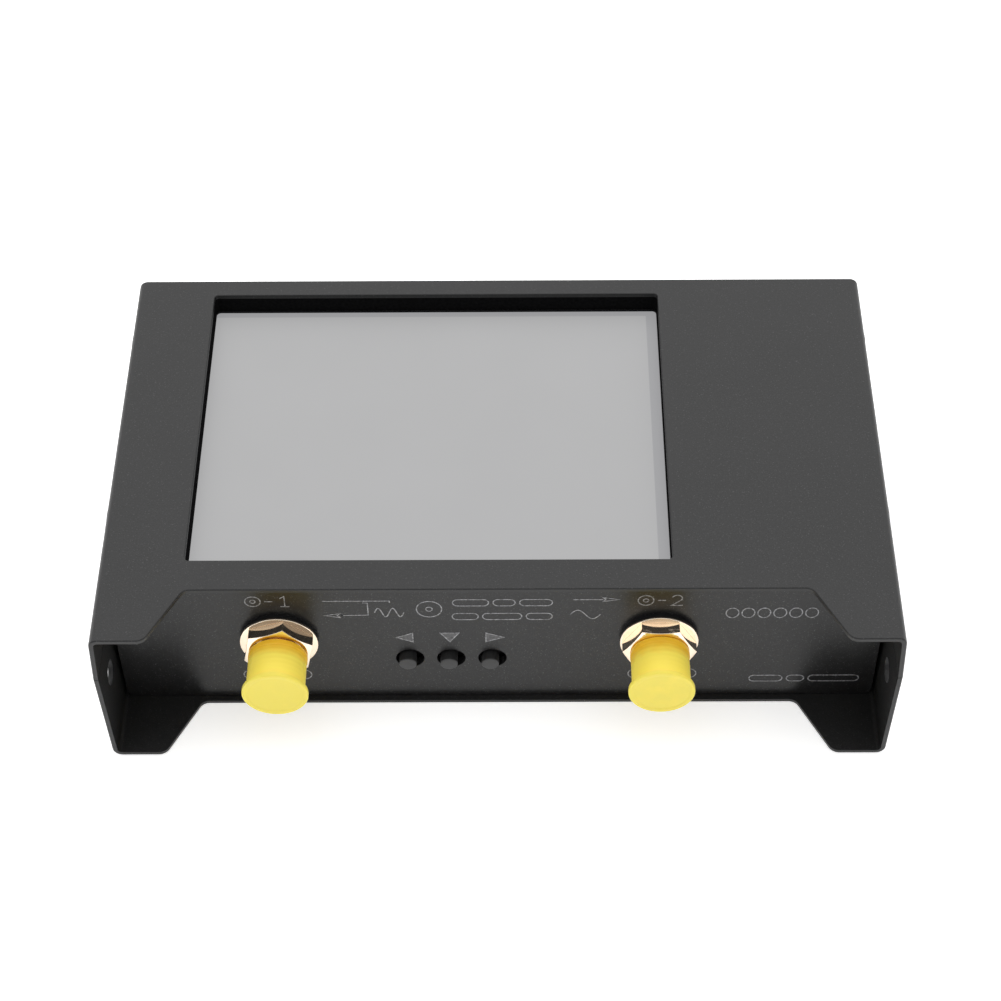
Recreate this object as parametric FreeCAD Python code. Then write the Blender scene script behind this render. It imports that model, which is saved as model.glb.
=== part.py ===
"""Handheld vector network analyzer: a folded-sheet case with a display and two coaxial ports.

Millimetres.  +Z is up, the ports face -Y and the origin is the centre of the case's underside.
Each sub-part is written to parts/NODE.step.
"""
import FreeCAD, Part
import math
import os

V = FreeCAD.Vector

# Case: two U-shaped sheets that meet at a seam on the long sides
CASE_WIDTH = 97.2
CASE_DEPTH = 60.8
CASE_HEIGHT = 23.9
SHEET = 0.6
BEND_RADIUS = 1.2
SEAM_HEIGHT = 16.0
SEAM_GAP = 0.1
SEAM_BULGE = 0.33
EDGE_BREAK = 0.18
FRONT = -CASE_DEPTH / 2
REAR = CASE_DEPTH / 2
FLOOR = SHEET
CEILING = CASE_HEIGHT - SHEET

# Finger notch in the front of both sheets
NOTCH_DEPTH_TOP = 7.65
NOTCH_DEPTH_BOTTOM = 7.9
NOTCH_HALF_INNER = 37.9
NOTCH_HALF_OUTER = 42.0
NOTCH_INNER_RADIUS = 1.3
NOTCH_OUTER_RADIUS = 1.5

# Display window
WINDOW_LEFT = -38.15
WINDOW_RIGHT = 21.35
WINDOW_FRONT = FRONT + 12.3
WINDOW_REAR = FRONT + 58.0
WINDOW_RADIUS = 0.5

# Lanyard holes in the two wings
LANYARD_RADIUS = 1.63
LANYARD_Y = FRONT + 5.3
LANYARD_Z = 10.4

# End panels
PANEL_FACE = FRONT + 8.7
PANEL_THICK = 1.2
PANEL_HALF_WIDTH = 47.6
PANEL_CLEARANCE = 0.1
PANEL_CORNER = 1.0
PANEL_BACK = PANEL_FACE + PANEL_THICK
REAR_PANEL_FACE = REAR - 0.8
REAR_PANEL_INSIDE = REAR_PANEL_FACE - PANEL_THICK

# Coaxial ports
PORT_X = {"left": -27.2, "right": 20.0}
PORT_Z = 12.8
THREAD_CREST = 3.17
THREAD_ROOT = 2.88
THREAD_PITCH = 0.7
NECK_RADIUS = 3.1
PORT_HOLE_RADIUS = 3.25
JACK_FLANGE = 9.4
JACK_FLANGE_THICK = 1.6
LEG_NEAR = 2.6
LEG_FAR = 3.8
LEG_LENGTH = 3.7
LEG_THICK = 1.1
BARREL_END = FRONT + 1.4
COUNTERBORE_RADIUS = 2.32
COUNTERBORE_DEPTH = 1.9
INSULATOR_RADIUS = 2.05
CONTACT_RADIUS = 0.63
PIN_RADIUS = 0.45
PIN_LENGTH = 2.8
FIT_GAP = 0.03
SEAL_RADIUS = 4.78
SEAL_THICK = 0.55
WASHER_RADIUS = 4.88
WASHER_THICK = 0.3
WASHER_BACK = PANEL_FACE - SEAL_THICK
NUT_ACROSS_FLATS = 8.0
NUT_THICK = 1.7
NUT_BACK = WASHER_BACK - WASHER_THICK
NUT_FRONT = NUT_BACK - NUT_THICK
NUT_TURN = {"left": 79.3, "right": 0.0}

# Dust caps
CAP_RADIUS = 3.62
CAP_BORE = 3.25
CAP_LIP_RADIUS = 4.08
CAP_LIP_THICK = 0.8
CAP_LENGTH = 5.9
CAP_BEAD = 0.1
CAP_MOUTH = {"left": NUT_FRONT - 0.24, "right": NUT_FRONT - 0.05}

# Main board, set so that the ports' pins lie on it
BOARD_TOP = PORT_Z - PIN_RADIUS - 0.02
BOARD_THICK = 1.6
BOARD_BOTTOM = BOARD_TOP - BOARD_THICK
BOARD_HALF_WIDTH = 45.0
BOARD_FRONT = PANEL_BACK + JACK_FLANGE_THICK + 0.1
BOARD_REAR = 27.4
STANDOFF_X = 41.0
STANDOFF_YS = (-11.0, 21.0)

# Push buttons, hung under the board
BUTTON_NAMES = ("left", "centre", "right")
BUTTON_PITCH = 5.17
BUTTON_HOLE_X = -5.9
BUTTON_HOLE_RADIUS = 1.8
PLUNGER_X = -6.17
PLUNGER_RADIUS = 1.1
BUTTON_Z = 8.6
PLUNGER_FRONT = PANEL_FACE - 1.05
SWITCH_FRONT = PANEL_BACK + 0.8
SWITCH_DEPTH = 4.4
SWITCH_WALL = 0.6
SWITCH_HALF = 2.15
CHAMBER_RADIUS = 1.6
CHAMBER_BACK = SWITCH_FRONT + SWITCH_DEPTH - 1.3
COLLAR_RADIUS = 1.35

# Display stack, from the film down to the tray
FILM_TOP = 21.0
FILM_THICK = 0.1
TOUCH_THICK = 0.8
GLASS_THICK = 1.2
LIGHT_THICK = 1.0
TRAY_THICK = 0.3
TRAY_LEFT = -41.6
TRAY_RIGHT = 27.6
TRAY_FRONT = PANEL_BACK + 0.4
TRAY_REAR = REAR_PANEL_INSIDE - 0.2
FILM_GAP = 0.06
FILM_REAR_GAP = 0.45
FILM_CORNER = 0.55
TOUCH_TOP = FILM_TOP - FILM_THICK
GLASS_TOP = TOUCH_TOP - TOUCH_THICK
LIGHT_TOP = GLASS_TOP - GLASS_THICK - 0.05
TRAY_BOTTOM = LIGHT_TOP - LIGHT_THICK - TRAY_THICK
GASKET_LAND = 2.2
RIBBON_THICK = 0.2
RIBBON_START = -5.5
RIBBON_WIDTH = 21.0

# Joining the two sheets
COVER_SCREW_YS = (-10.0, 20.0)
COVER_SCREW_Z = 19.8
BRACKET_WIDTH = 8.0
BRACKET_THICK = 2.0
BRACKET_FOOT_Z = 9.0
BRACKET_HEAD_Z = 22.0
CSK_RADIUS = 2.45
CSK_HOLE = 1.4
SCREW_RADIUS = 1.22

# Battery
CELL = (-33.0, 17.0, -12.0, 18.0)
CELL_BOTTOM = 1.25
CELL_TOP = 6.25
CELL_ROUND = 2.2
CELL_BOARD = (17.0, 18.0, -4.0, 10.0, 2.3, 5.3)
LEAD_YS = (2.0, 4.0)
LEAD_RADIUS = 0.55
LEAD_BEND = 1.4
LEAD_START_Z = 3.8
LEAD_RISE_X = 20.75
PLUG = (23.5, 27.0, 0.0, 6.0, 6.9, 9.1)
HEADER = (27.0, 33.0, -1.0, 7.0, 6.3, BOARD_BOTTOM)

# Rear panel's fittings
USB_X = -22.0
USB_WIDTH = 8.94
USB_HEIGHT = 3.26
USB_WALL = 0.3
USB_Z = BOARD_TOP + USB_HEIGHT / 2
USB_BACK = REAR_PANEL_INSIDE - 6.5
USB_MOUTH = REAR_PANEL_FACE - 0.35
USB_HOLE = (9.7, 4.0)
USB_TONGUE_HALF = 3.2
SLIDE_X = 15.0
SLIDE_Z = BOARD_TOP + 1.7
SLIDE_HOLE = (5.4, 2.4)
SLIDE_BODY_HALF = 4.5
SLIDE_BODY_YS = (22.6, 27.0)
SLIDE_BODY_HEIGHT = 3.4
KNOB_TRAVEL = 2.0
KNOB_HALF_WIDTH = 0.95
KNOB_HALF_HEIGHT = 0.75
KNOB_X = SLIDE_X - KNOB_TRAVEL / 2
LIGHT_XS = {"left": -8.0, "right": -3.0}
LIGHT_RADIUS = 1.0
LIGHT_BASE_YS = (22.4, 25.0)
BLOCK_X = 28.0
BLOCK_WIDTH = 8.0
BLOCK_START = 20.4
BLOCK_SCREW_Z = 4.7
BLOCK_SCREW_LENGTH = 5.5
BLOCK_SCREW_HEAD = 1.9

# Board parts, as x0, x1, y0, y1
SHIELDS = {"left": (-35.0, -13.0, -11.0, 9.0), "right": (-8.0, 14.0, -11.0, 7.0)}
SHIELD_HEIGHT = 2.5
PROCESSOR = (-3.0, 7.0, 9.0, 19.0)
PROCESSOR_HEIGHT = 1.4
MEMORY = (-11.0, -5.0, 12.0, 17.0)
MEMORY_HEIGHT = 1.0
CONNECTOR = (19.5, 24.4, -6.5, 16.5)
CONNECTOR_HEIGHT = 1.5
SPACER_PLACES = ((-39.0, -15.0), (10.0, -15.0), (-39.0, 25.0), (26.0, 24.0))
SPACER_RADIUS = 1.5
BOARD_SCREW_RADIUS = 1.0
BOARD_SCREW_HEAD = 2.2
STANDOFF_ACROSS_FLATS = 4.5


def box(x0, x1, y0, y1, z0, z1):
    return Part.makeBox(x1 - x0, y1 - y0, z1 - z0, V(x0, y0, z0))


def cylinder(x, y, radius, z0, z1):
    return Part.makeCylinder(radius, z1 - z0, V(x, y, z0))


def rod_y(x, z, radius, y0, y1):
    return Part.makeCylinder(radius, y1 - y0, V(x, y0, z), V(0, 1, 0))


def prism(points, along):
    """Polygon pushed along a vector."""
    return Part.Face(Part.makePolygon(list(points) + [points[0]])).extrude(along)


def turned(profile, base, axis, radial):
    """Solid of revolution of (radius, distance) pairs about an axis through base."""
    points = [base + radial * radius + axis * distance for radius, distance in profile]
    return Part.Face(Part.makePolygon(points + [points[0]])).revolve(base, axis, 360)


def turned_y(profile, x, z):
    """Solid of revolution of (radius, y) pairs about the line along Y through x, z."""
    return turned(profile, V(x, 0, z), V(0, 1, 0), V(1, 0, 0))


def hexagon_y(x, z, across_flats, turn, y0, y1):
    """Hexagonal bar along Y with a corner at the angle turn, in degrees from +X."""
    reach = across_flats / math.sqrt(3)
    angles = [math.radians(turn + 60 * k) for k in range(6)]
    corners = [V(x + reach * math.cos(a), y0, z + reach * math.sin(a)) for a in angles]
    return prism(corners, V(0, y1 - y0, 0))


def vertical_edges(shape):
    return [e for e in shape.Edges if len(e.Vertexes) == 2 and abs(e.tangentAt(e.FirstParameter).z) > 0.999]


def rounded_box(x0, x1, y0, y1, z0, z1, radius):
    """Box with its upright edges rounded."""
    block = box(x0, x1, y0, y1, z0, z1)
    return block.makeFillet(radius, vertical_edges(block))


def rounded_plate(half_width, z0, z1, y0, y1, radius):
    """Plate that stands across the case, with its four corners rounded."""
    plate = box(-half_width, half_width, y0, y1, z0, z1)
    corners = [e for e in plate.Edges if abs(e.tangentAt(e.FirstParameter).y) > 0.999]
    return plate.makeFillet(radius, corners)


def slot_y(x, z, width, height, y0, y1):
    """Bar along Y whose section is a slot with round ends, lying flat."""
    reach = (width - height) / 2
    middle = box(x - reach, x + reach, y0, y1, z - height / 2, z + height / 2)
    ends = [rod_y(x + side * reach, z, height / 2, y0, y1) for side in (-1, 1)]
    return middle.multiFuse(ends).removeSplitter()


def mirrored(shape):
    return shape.mirror(V(0, 0, 0), V(1, 0, 0))


def save(name, *solids):
    """Write one node from one solid, or from several separate ones."""
    shape = solids[0] if len(solids) == 1 else Part.makeCompound(list(solids))
    shape.exportStep(os.path.join("parts", name + ".step"))


class Flange:
    """Section of the long wall on the +X side: a bend and a flange that leans out to the seam."""

    def __init__(self, plate_z, seam_z):
        self.rise = 1 if seam_z > plate_z else -1
        self.plate_z = plate_z
        self.seam_z = seam_z
        self.bend = V(CASE_WIDTH / 2 - BEND_RADIUS, FRONT, plate_z + self.rise * BEND_RADIUS)
        lean = math.atan2(SEAM_BULGE, abs(seam_z - self.bend.z))
        self.out = V(math.cos(lean), 0, -self.rise * math.sin(lean))
        self.along = V(math.sin(lean), 0, self.rise * math.cos(lean))

    def foot(self, depth):
        """Where the bend meets the flange, at a depth below the outer face."""
        return self.bend + self.out * (BEND_RADIUS - depth)

    def point(self, depth, z):
        """Point of the flange at a depth below its outer face and at a height."""
        foot = self.foot(depth)
        return foot + self.along * ((z - foot.z) / self.along.z)

    def half_outline(self, depth, side):
        """Line and arc from the seam to the plate, at a depth below the outer face."""
        middle = self.out + V(0, 0, -self.rise)
        middle.normalize()
        corners = [
            self.point(depth, self.seam_z),
            self.foot(depth),
            self.bend + middle * (BEND_RADIUS - depth),
            self.bend + V(0, 0, -self.rise * (BEND_RADIUS - depth)),
        ]
        end, foot, crown, plate = [V(side * p.x, p.y, p.z) for p in corners]
        edges = [Part.makeLine(end, foot), Part.Arc(foot, crown, plate).toShape()]
        return edges, end, plate

    def sheet(self):
        """The whole folded sheet, over the depth of the case."""
        edges = []
        ends = {}
        plates = {}
        for depth in (0.0, SHEET):
            for side in (-1, 1):
                part, ends[depth, side], plates[depth, side] = self.half_outline(depth, side)
                edges += part
            edges.append(Part.makeLine(plates[depth, -1], plates[depth, 1]))
        for side in (-1, 1):
            edges.append(Part.makeLine(ends[0.0, side], ends[SHEET, side]))
        outline = Part.Wire(Part.__sortEdges__(edges))
        return Part.Face(outline).extrude(V(0, CASE_DEPTH, 0))


UPPER = Flange(CASE_HEIGHT, SEAM_HEIGHT + SEAM_GAP / 2)
LOWER = Flange(0.0, SEAM_HEIGHT - SEAM_GAP / 2)


def notch_tool(depth, z0, z1):
    """Trapezoid with round inner corners, reaching out past the front edge."""
    slope = (NOTCH_HALF_OUTER - NOTCH_HALF_INNER) / depth
    mouth = NOTCH_HALF_OUTER + slope
    back = FRONT + depth
    corners = [V(-mouth, FRONT - 1, z0), V(mouth, FRONT - 1, z0),
               V(NOTCH_HALF_INNER, back, z0), V(-NOTCH_HALF_INNER, back, z0)]
    block = prism(corners, V(0, 0, z1 - z0))
    inner = [e for e in vertical_edges(block) if e.Vertexes[0].Point.y > FRONT]
    return block.makeFillet(NOTCH_INNER_RADIUS, inner)


def round_wing_tips(shape):
    """Round the plate's corners where the notch meets the front edge."""
    tips = [e for e in vertical_edges(shape)
            if abs(e.Vertexes[0].Point.y - FRONT) < 0.01
            and abs(abs(e.Vertexes[0].Point.x) - NOTCH_HALF_OUTER) < 0.01]
    return shape.makeFillet(NOTCH_OUTER_RADIUS, tips)


def break_outline(shape, plate_z):
    """Soften the cut edges of the plate's outer face."""
    edges = [e for e in shape.Edges
             if all(abs(v.Point.z - plate_z) < 0.001 for v in e.Vertexes)
             and abs(e.BoundBox.ZLength) < 0.001
             and not is_bend_line(e)]
    return shape.makeFillet(EDGE_BREAK, edges)


def is_bend_line(edge):
    """True for the lines along Y where the plate runs into its bends."""
    return abs(abs(edge.Vertexes[0].Point.x) - UPPER.bend.x) < 0.01 and edge.BoundBox.XLength < 0.001


def screw_axes():
    """Where each cover screw on the +X side meets the outer face."""
    for y in COVER_SCREW_YS:
        face = UPPER.point(0.0, COVER_SCREW_Z)
        yield V(face.x, y, face.z)


def turned_in(profile, origin):
    """Solid turned from (radius, depth) pairs about a cover screw's axis, on the +X side."""
    return turned(profile, origin, UPPER.out * -1, V(0, 1, 0))


def dimple(origin):
    """Pressed cone that seats a countersunk head in thin sheet."""
    back = CSK_RADIUS + SHEET * math.sqrt(2)
    reach = CSK_RADIUS - CSK_HOLE
    tail = reach + SHEET * 0.8
    profile = [(CSK_HOLE, reach), (CSK_RADIUS, 0), (CSK_RADIUS + 0.8, 0), (CSK_RADIUS + 0.8, SHEET),
               (back - SHEET, SHEET), (back - tail, tail), (CSK_HOLE, tail)]
    return turned_in(profile, origin)


def make_top_cover():
    cover = UPPER.sheet()
    for origin in screw_axes():
        for flip in (False, True):
            bore = turned_in([(0, -1), (CSK_RADIUS + 0.4, -1), (CSK_RADIUS + 0.4, 2), (0, 2)], origin)
            seat = dimple(origin)
            cover = cover.cut(mirrored(bore) if flip else bore)
            cover = cover.fuse(mirrored(seat) if flip else seat)
    cover = cover.removeSplitter()
    window = rounded_box(WINDOW_LEFT, WINDOW_RIGHT, WINDOW_FRONT, WINDOW_REAR,
                         CEILING - 1, CASE_HEIGHT + 1, WINDOW_RADIUS)
    cover = cover.cut(notch_tool(NOTCH_DEPTH_TOP, CEILING - 1, CASE_HEIGHT + 1)).cut(window)
    cover = round_wing_tips(cover)
    return break_outline(cover, CASE_HEIGHT)


def make_bottom_cover():
    cover = LOWER.sheet()
    cover = cover.cut(notch_tool(NOTCH_DEPTH_BOTTOM, -1, FLOOR + 1))
    reach = CASE_WIDTH / 2 + 2
    lanyard = Part.makeCylinder(LANYARD_RADIUS, 2 * reach, V(-reach, LANYARD_Y, LANYARD_Z), V(1, 0, 0))
    return break_outline(round_wing_tips(cover.cut(lanyard)), 0.0)


def make_bracket(screw_y):
    """Strap welded inside the lower flange and tapped for a screw through the upper one."""
    gap = 0.05
    inner = SHEET + BRACKET_THICK
    section = [
        LOWER.point(SHEET, BRACKET_FOOT_Z),
        LOWER.point(SHEET, SEAM_HEIGHT - 0.3),
        UPPER.point(SHEET + gap, SEAM_HEIGHT + 0.3),
        UPPER.point(SHEET + gap, BRACKET_HEAD_Z),
        UPPER.point(inner + gap, BRACKET_HEAD_Z),
        UPPER.point(inner + gap, SEAM_HEIGHT),
        LOWER.point(inner, BRACKET_FOOT_Z),
    ]
    start = screw_y - BRACKET_WIDTH / 2
    strap = prism([V(p.x, start, p.z) for p in section], V(0, BRACKET_WIDTH, 0))
    face = UPPER.point(0.0, COVER_SCREW_Z)
    back = CSK_RADIUS + SHEET * math.sqrt(2)
    room = 0.12
    recess = [(0, 0), (back + room, 0), (CSK_HOLE + room + 0.3, back - CSK_HOLE - 0.3),
              (0, back - CSK_HOLE - 0.3)]
    tapped = [(0, 0), (SCREW_RADIUS + FIT_GAP, 0), (SCREW_RADIUS + FIT_GAP, 5), (0, 5)]
    origin = V(face.x, screw_y, face.z)
    return strap.cut(turned_in(recess, origin)).cut(turned_in(tapped, origin))


def make_cover_screw(origin):
    """Countersunk screw with a hexagon socket, flush with the flange."""
    slack = 0.03
    sunk = 0.08
    head = CSK_RADIUS - slack - sunk
    profile = [(0, sunk), (head, sunk), (SCREW_RADIUS, head + sunk - SCREW_RADIUS),
               (SCREW_RADIUS, 3.9), (SCREW_RADIUS - 0.3, 4.2), (0, 4.2)]
    screw = turned_in(profile, origin)
    socket_reach = 1.5 / math.sqrt(3)
    up = UPPER.along
    across = V(0, 1, 0)
    corners = []
    for k in range(6):
        angle = math.radians(60 * k)
        corners.append(origin + (across * math.cos(angle) + up * math.sin(angle)) * socket_reach)
    return screw.cut(prism(corners, UPPER.out * -0.9))


def make_front_panel():
    panel = rounded_plate(PANEL_HALF_WIDTH, FLOOR + PANEL_CLEARANCE, CEILING - PANEL_CLEARANCE,
                          PANEL_FACE, PANEL_BACK, PANEL_CORNER)
    for x in PORT_X.values():
        panel = panel.cut(rod_y(x, PORT_Z, PORT_HOLE_RADIUS, PANEL_FACE - 1, PANEL_BACK + 1))
    for k in (-1, 0, 1):
        x = BUTTON_HOLE_X + k * BUTTON_PITCH
        panel = panel.cut(rod_y(x, BUTTON_Z, BUTTON_HOLE_RADIUS, PANEL_FACE - 1, PANEL_BACK + 1))
    return panel


def make_jack(x):
    """Edge-mounted coaxial jack: square flange, threaded barrel and four legs astride the board."""
    half = JACK_FLANGE / 2
    flange_back = PANEL_BACK + JACK_FLANGE_THICK
    flange = box(x - half, x + half, PANEL_BACK, flange_back, PORT_Z - half, PORT_Z + half)
    thread_start = PANEL_FACE - 0.1
    turns = int((thread_start - BARREL_END) / THREAD_PITCH)
    profile = [(0, flange_back), (NECK_RADIUS, flange_back), (NECK_RADIUS, thread_start)]
    for k in range(turns):
        y = thread_start - (k + 0.25) * THREAD_PITCH
        profile += [(THREAD_CREST, y), (THREAD_CREST, y - 0.1), (THREAD_ROOT, y - 0.4 * THREAD_PITCH)]
    profile += [(THREAD_ROOT, BARREL_END), (0, BARREL_END)]
    jack = flange.fuse(turned_y(profile, x, PORT_Z))
    shoulder = BARREL_END + COUNTERBORE_DEPTH
    bore = INSULATOR_RADIUS + FIT_GAP
    mouth = COUNTERBORE_RADIUS + 0.2
    inside = [(0, BARREL_END - 1), (mouth, BARREL_END - 1), (mouth, BARREL_END),
              (COUNTERBORE_RADIUS, BARREL_END + 0.2), (COUNTERBORE_RADIUS, shoulder), (bore, shoulder),
              (bore, flange_back + 1), (0, flange_back + 1)]
    jack = jack.cut(turned_y(inside, x, PORT_Z))
    legs = []
    for side in (-1, 1):
        x0, x1 = sorted((x + side * LEG_NEAR, x + side * LEG_FAR))
        leg_end = flange_back + LEG_LENGTH
        legs.append(box(x0, x1, flange_back, leg_end, BOARD_TOP, BOARD_TOP + LEG_THICK))
        legs.append(box(x0, x1, flange_back, leg_end, BOARD_BOTTOM - LEG_THICK, BOARD_BOTTOM))
    return jack.multiFuse(legs).removeSplitter()


def make_insulator(x):
    shoulder = BARREL_END + COUNTERBORE_DEPTH
    back = PANEL_BACK + JACK_FLANGE_THICK
    sleeve = rod_y(x, PORT_Z, INSULATOR_RADIUS, shoulder, back)
    return sleeve.cut(rod_y(x, PORT_Z, CONTACT_RADIUS + FIT_GAP, shoulder - 1, back + 1))


def make_contact(x):
    """Centre contact: socket at the front, pin over the board at the back."""
    front = BARREL_END + COUNTERBORE_DEPTH + 0.05
    back = PANEL_BACK + JACK_FLANGE_THICK
    socket = CONTACT_RADIUS - 0.16
    socket_end = front + 2.4
    tip = back + PIN_LENGTH
    profile = [(0, socket_end), (socket, socket_end), (socket, front), (CONTACT_RADIUS, front),
               (CONTACT_RADIUS, back), (PIN_RADIUS, back), (PIN_RADIUS, tip), (0, tip)]
    return turned_y(profile, x, PORT_Z)


def make_seal(x):
    """Rubber ring between the panel and the washer."""
    bore = THREAD_CREST + 0.04
    ring = rod_y(x, PORT_Z, SEAL_RADIUS, WASHER_BACK, PANEL_FACE)
    return ring.cut(rod_y(x, PORT_Z, bore, WASHER_BACK - 1, PANEL_FACE + 1))


def make_washer(x):
    chamfer = 0.1
    bore = THREAD_CREST + 0.08
    profile = [(bore, NUT_BACK), (WASHER_RADIUS - chamfer, NUT_BACK), (WASHER_RADIUS, NUT_BACK + chamfer),
               (WASHER_RADIUS, WASHER_BACK), (bore, WASHER_BACK)]
    return turned_y(profile, x, PORT_Z)


def make_nut(x, turn):
    """Hexagon nut with its front corners turned off."""
    bar = hexagon_y(x, PORT_Z, NUT_ACROSS_FLATS, turn, NUT_FRONT, NUT_BACK)
    face = NUT_ACROSS_FLATS / 2 - 0.05
    reach = NUT_ACROSS_FLATS / math.sqrt(3) + 0.1
    fall = (reach - face) * math.tan(math.radians(22))
    envelope = turned_y([(0, NUT_FRONT), (face, NUT_FRONT), (reach, NUT_FRONT + fall), (reach, NUT_BACK),
                         (0, NUT_BACK)], x, PORT_Z)
    bore = THREAD_CREST + 0.05
    hole = turned_y([(0, NUT_FRONT - 1), (bore + 0.25, NUT_FRONT - 1), (bore + 0.25, NUT_FRONT),
                     (bore, NUT_FRONT + 0.25), (bore, NUT_BACK + 1), (0, NUT_BACK + 1)], x, PORT_Z)
    return bar.common(envelope).cut(hole)


def make_dust_cap(x, mouth):
    """Soft cap: ribbed sleeve with a bead at its mouth and a closed end that stands out as a lip."""
    end = mouth - CAP_LENGTH
    lip_back = end + CAP_LIP_THICK
    bead_front = mouth - 0.6
    bevel = 0.2
    rib = 0.05
    profile = [(0, end), (CAP_LIP_RADIUS - bevel, end), (CAP_LIP_RADIUS, end + bevel),
               (CAP_LIP_RADIUS, lip_back - bevel), (CAP_LIP_RADIUS - bevel, lip_back)]
    ribs = int((bead_front - lip_back) / THREAD_PITCH)
    for k in range(ribs):
        y = lip_back + (k + 0.3) * THREAD_PITCH
        profile += [(CAP_RADIUS - rib, y - 0.12), (CAP_RADIUS, y), (CAP_RADIUS, y + 0.12),
                    (CAP_RADIUS - rib, y + 0.24)]
    profile += [(CAP_RADIUS - rib, bead_front), (CAP_RADIUS + CAP_BEAD, bead_front + 0.2),
                (CAP_RADIUS + CAP_BEAD, mouth - 0.1), (CAP_RADIUS, mouth), (CAP_BORE, mouth),
                (CAP_BORE, BARREL_END - 0.1), (0, BARREL_END - 0.1)]
    return turned_y(profile, x, PORT_Z)


def make_tact_switch(x):
    """Body of a side-pressed switch, hollow for its plunger."""
    half = SWITCH_HALF + 0.15
    body = box(x - half, x + half, SWITCH_FRONT, SWITCH_FRONT + SWITCH_DEPTH,
               BUTTON_Z - SWITCH_HALF, BOARD_BOTTOM)
    throat = rod_y(x, BUTTON_Z, PLUNGER_RADIUS + 0.15, SWITCH_FRONT - 1, SWITCH_FRONT + 1)
    chamber = rod_y(x, BUTTON_Z, CHAMBER_RADIUS, SWITCH_FRONT + SWITCH_WALL, CHAMBER_BACK)
    return body.cut(throat).cut(chamber)


def make_plunger(x):
    """Push button: round stem with a collar that the switch body holds."""
    chamfer = 0.15
    collar = SWITCH_FRONT + SWITCH_WALL + 0.1
    tail = SWITCH_FRONT + 2.4
    profile = [(0, PLUNGER_FRONT), (PLUNGER_RADIUS - chamfer, PLUNGER_FRONT),
               (PLUNGER_RADIUS, PLUNGER_FRONT + chamfer), (PLUNGER_RADIUS, collar), (COLLAR_RADIUS, collar),
               (COLLAR_RADIUS, collar + 0.7), (0.8, collar + 0.7), (0.8, tail), (0, tail)]
    return turned_y(profile, x, BUTTON_Z)


def make_dome(x):
    """Snap disc at the bottom of the switch's chamber."""
    thick = 0.08
    rim = CHAMBER_BACK - 0.02
    crown = rim - 0.27
    profile = [(0, crown), (0.7, crown), (1.45, rim - thick), (1.45, rim), (0.7, crown + thick),
               (0, crown + thick)]
    return turned_y(profile, x, BUTTON_Z)


def make_gasket():
    """Foam frame between the display and the top sheet."""
    room = 0.05
    outer = box(WINDOW_LEFT - GASKET_LAND, WINDOW_RIGHT + GASKET_LAND, TRAY_FRONT, TRAY_REAR,
                TOUCH_TOP + 0.01, CEILING - 0.01)
    inner = rounded_box(WINDOW_LEFT - room, WINDOW_RIGHT + room, WINDOW_FRONT - room, WINDOW_REAR + room,
                        FILM_TOP - 1, CEILING + 1, WINDOW_RADIUS + room)
    return outer.cut(inner)


def make_film():
    """Protective film that fills the window, short of its rear edge."""
    return rounded_box(WINDOW_LEFT + FILM_GAP, WINDOW_RIGHT - FILM_GAP, WINDOW_FRONT + FILM_GAP,
                       WINDOW_REAR - FILM_REAR_GAP, TOUCH_TOP, FILM_TOP, FILM_CORNER)


def make_tray():
    """Thin metal tray that holds the display, open at the ribbon."""
    outer = box(TRAY_LEFT, TRAY_RIGHT, TRAY_FRONT, TRAY_REAR, TRAY_BOTTOM, GLASS_TOP - 0.05)
    inner = box(TRAY_LEFT + TRAY_THICK, TRAY_RIGHT - TRAY_THICK, TRAY_FRONT + TRAY_THICK,
                TRAY_REAR - TRAY_THICK, TRAY_BOTTOM + TRAY_THICK, GLASS_TOP + 1)
    mouth = box(TRAY_RIGHT - 1, TRAY_RIGHT + 1, RIBBON_START - 1.5, RIBBON_START + RIBBON_WIDTH + 1.5,
                LIGHT_TOP, GLASS_TOP + 1)
    return outer.cut(inner).cut(mouth)


def make_flex():
    """Display ribbon: out of the tray, round half a turn and back over the board."""
    half = RIBBON_THICK / 2
    end = RIBBON_START + RIBBON_WIDTH
    high = GLASS_TOP - 0.7
    low = BOARD_TOP + 0.7
    radius = (high - low) / 2
    turn_x = TRAY_RIGHT + 1.0
    centre = V(turn_x, RIBBON_START, (high + low) / 2)
    upper = box(TRAY_RIGHT - 1.6, turn_x, RIBBON_START, end, high - half, high + half)
    lower = box(CONNECTOR[1], turn_x, RIBBON_START, end, low - half, low + half)
    ring = Part.makeCylinder(radius + half, RIBBON_WIDTH, centre, V(0, 1, 0))
    ring = ring.cut(Part.makeCylinder(radius - half, RIBBON_WIDTH, centre, V(0, 1, 0)))
    left_half = box(turn_x - 10, turn_x, RIBBON_START - 1, end + 1, centre.z - 10, centre.z + 10)
    return upper.multiFuse([lower, ring.cut(left_half)]).removeSplitter()


def make_board():
    board = box(-BOARD_HALF_WIDTH, BOARD_HALF_WIDTH, BOARD_FRONT, BOARD_REAR, BOARD_BOTTOM, BOARD_TOP)
    for x in (-STANDOFF_X, STANDOFF_X):
        for y in STANDOFF_YS:
            board = board.cut(cylinder(x, y, 1.35, BOARD_BOTTOM - 1, BOARD_TOP + 1))
    return board


def make_shield(x0, x1, y0, y1):
    """Pressed screening can over the radio circuit, with a row of vent holes."""
    wall = 0.25
    roof = BOARD_TOP + SHIELD_HEIGHT
    can = rounded_box(x0, x1, y0, y1, BOARD_TOP, roof, 0.8)
    can = can.cut(box(x0 + wall, x1 - wall, y0 + wall, y1 - wall, BOARD_TOP - 1, roof - wall))
    for k in range(5):
        x = x0 + (x1 - x0) * (k + 1) / 6
        can = can.cut(cylinder(x, (y0 + y1) / 2, 0.7, BOARD_TOP + 1, roof + 1))
    return can


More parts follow.
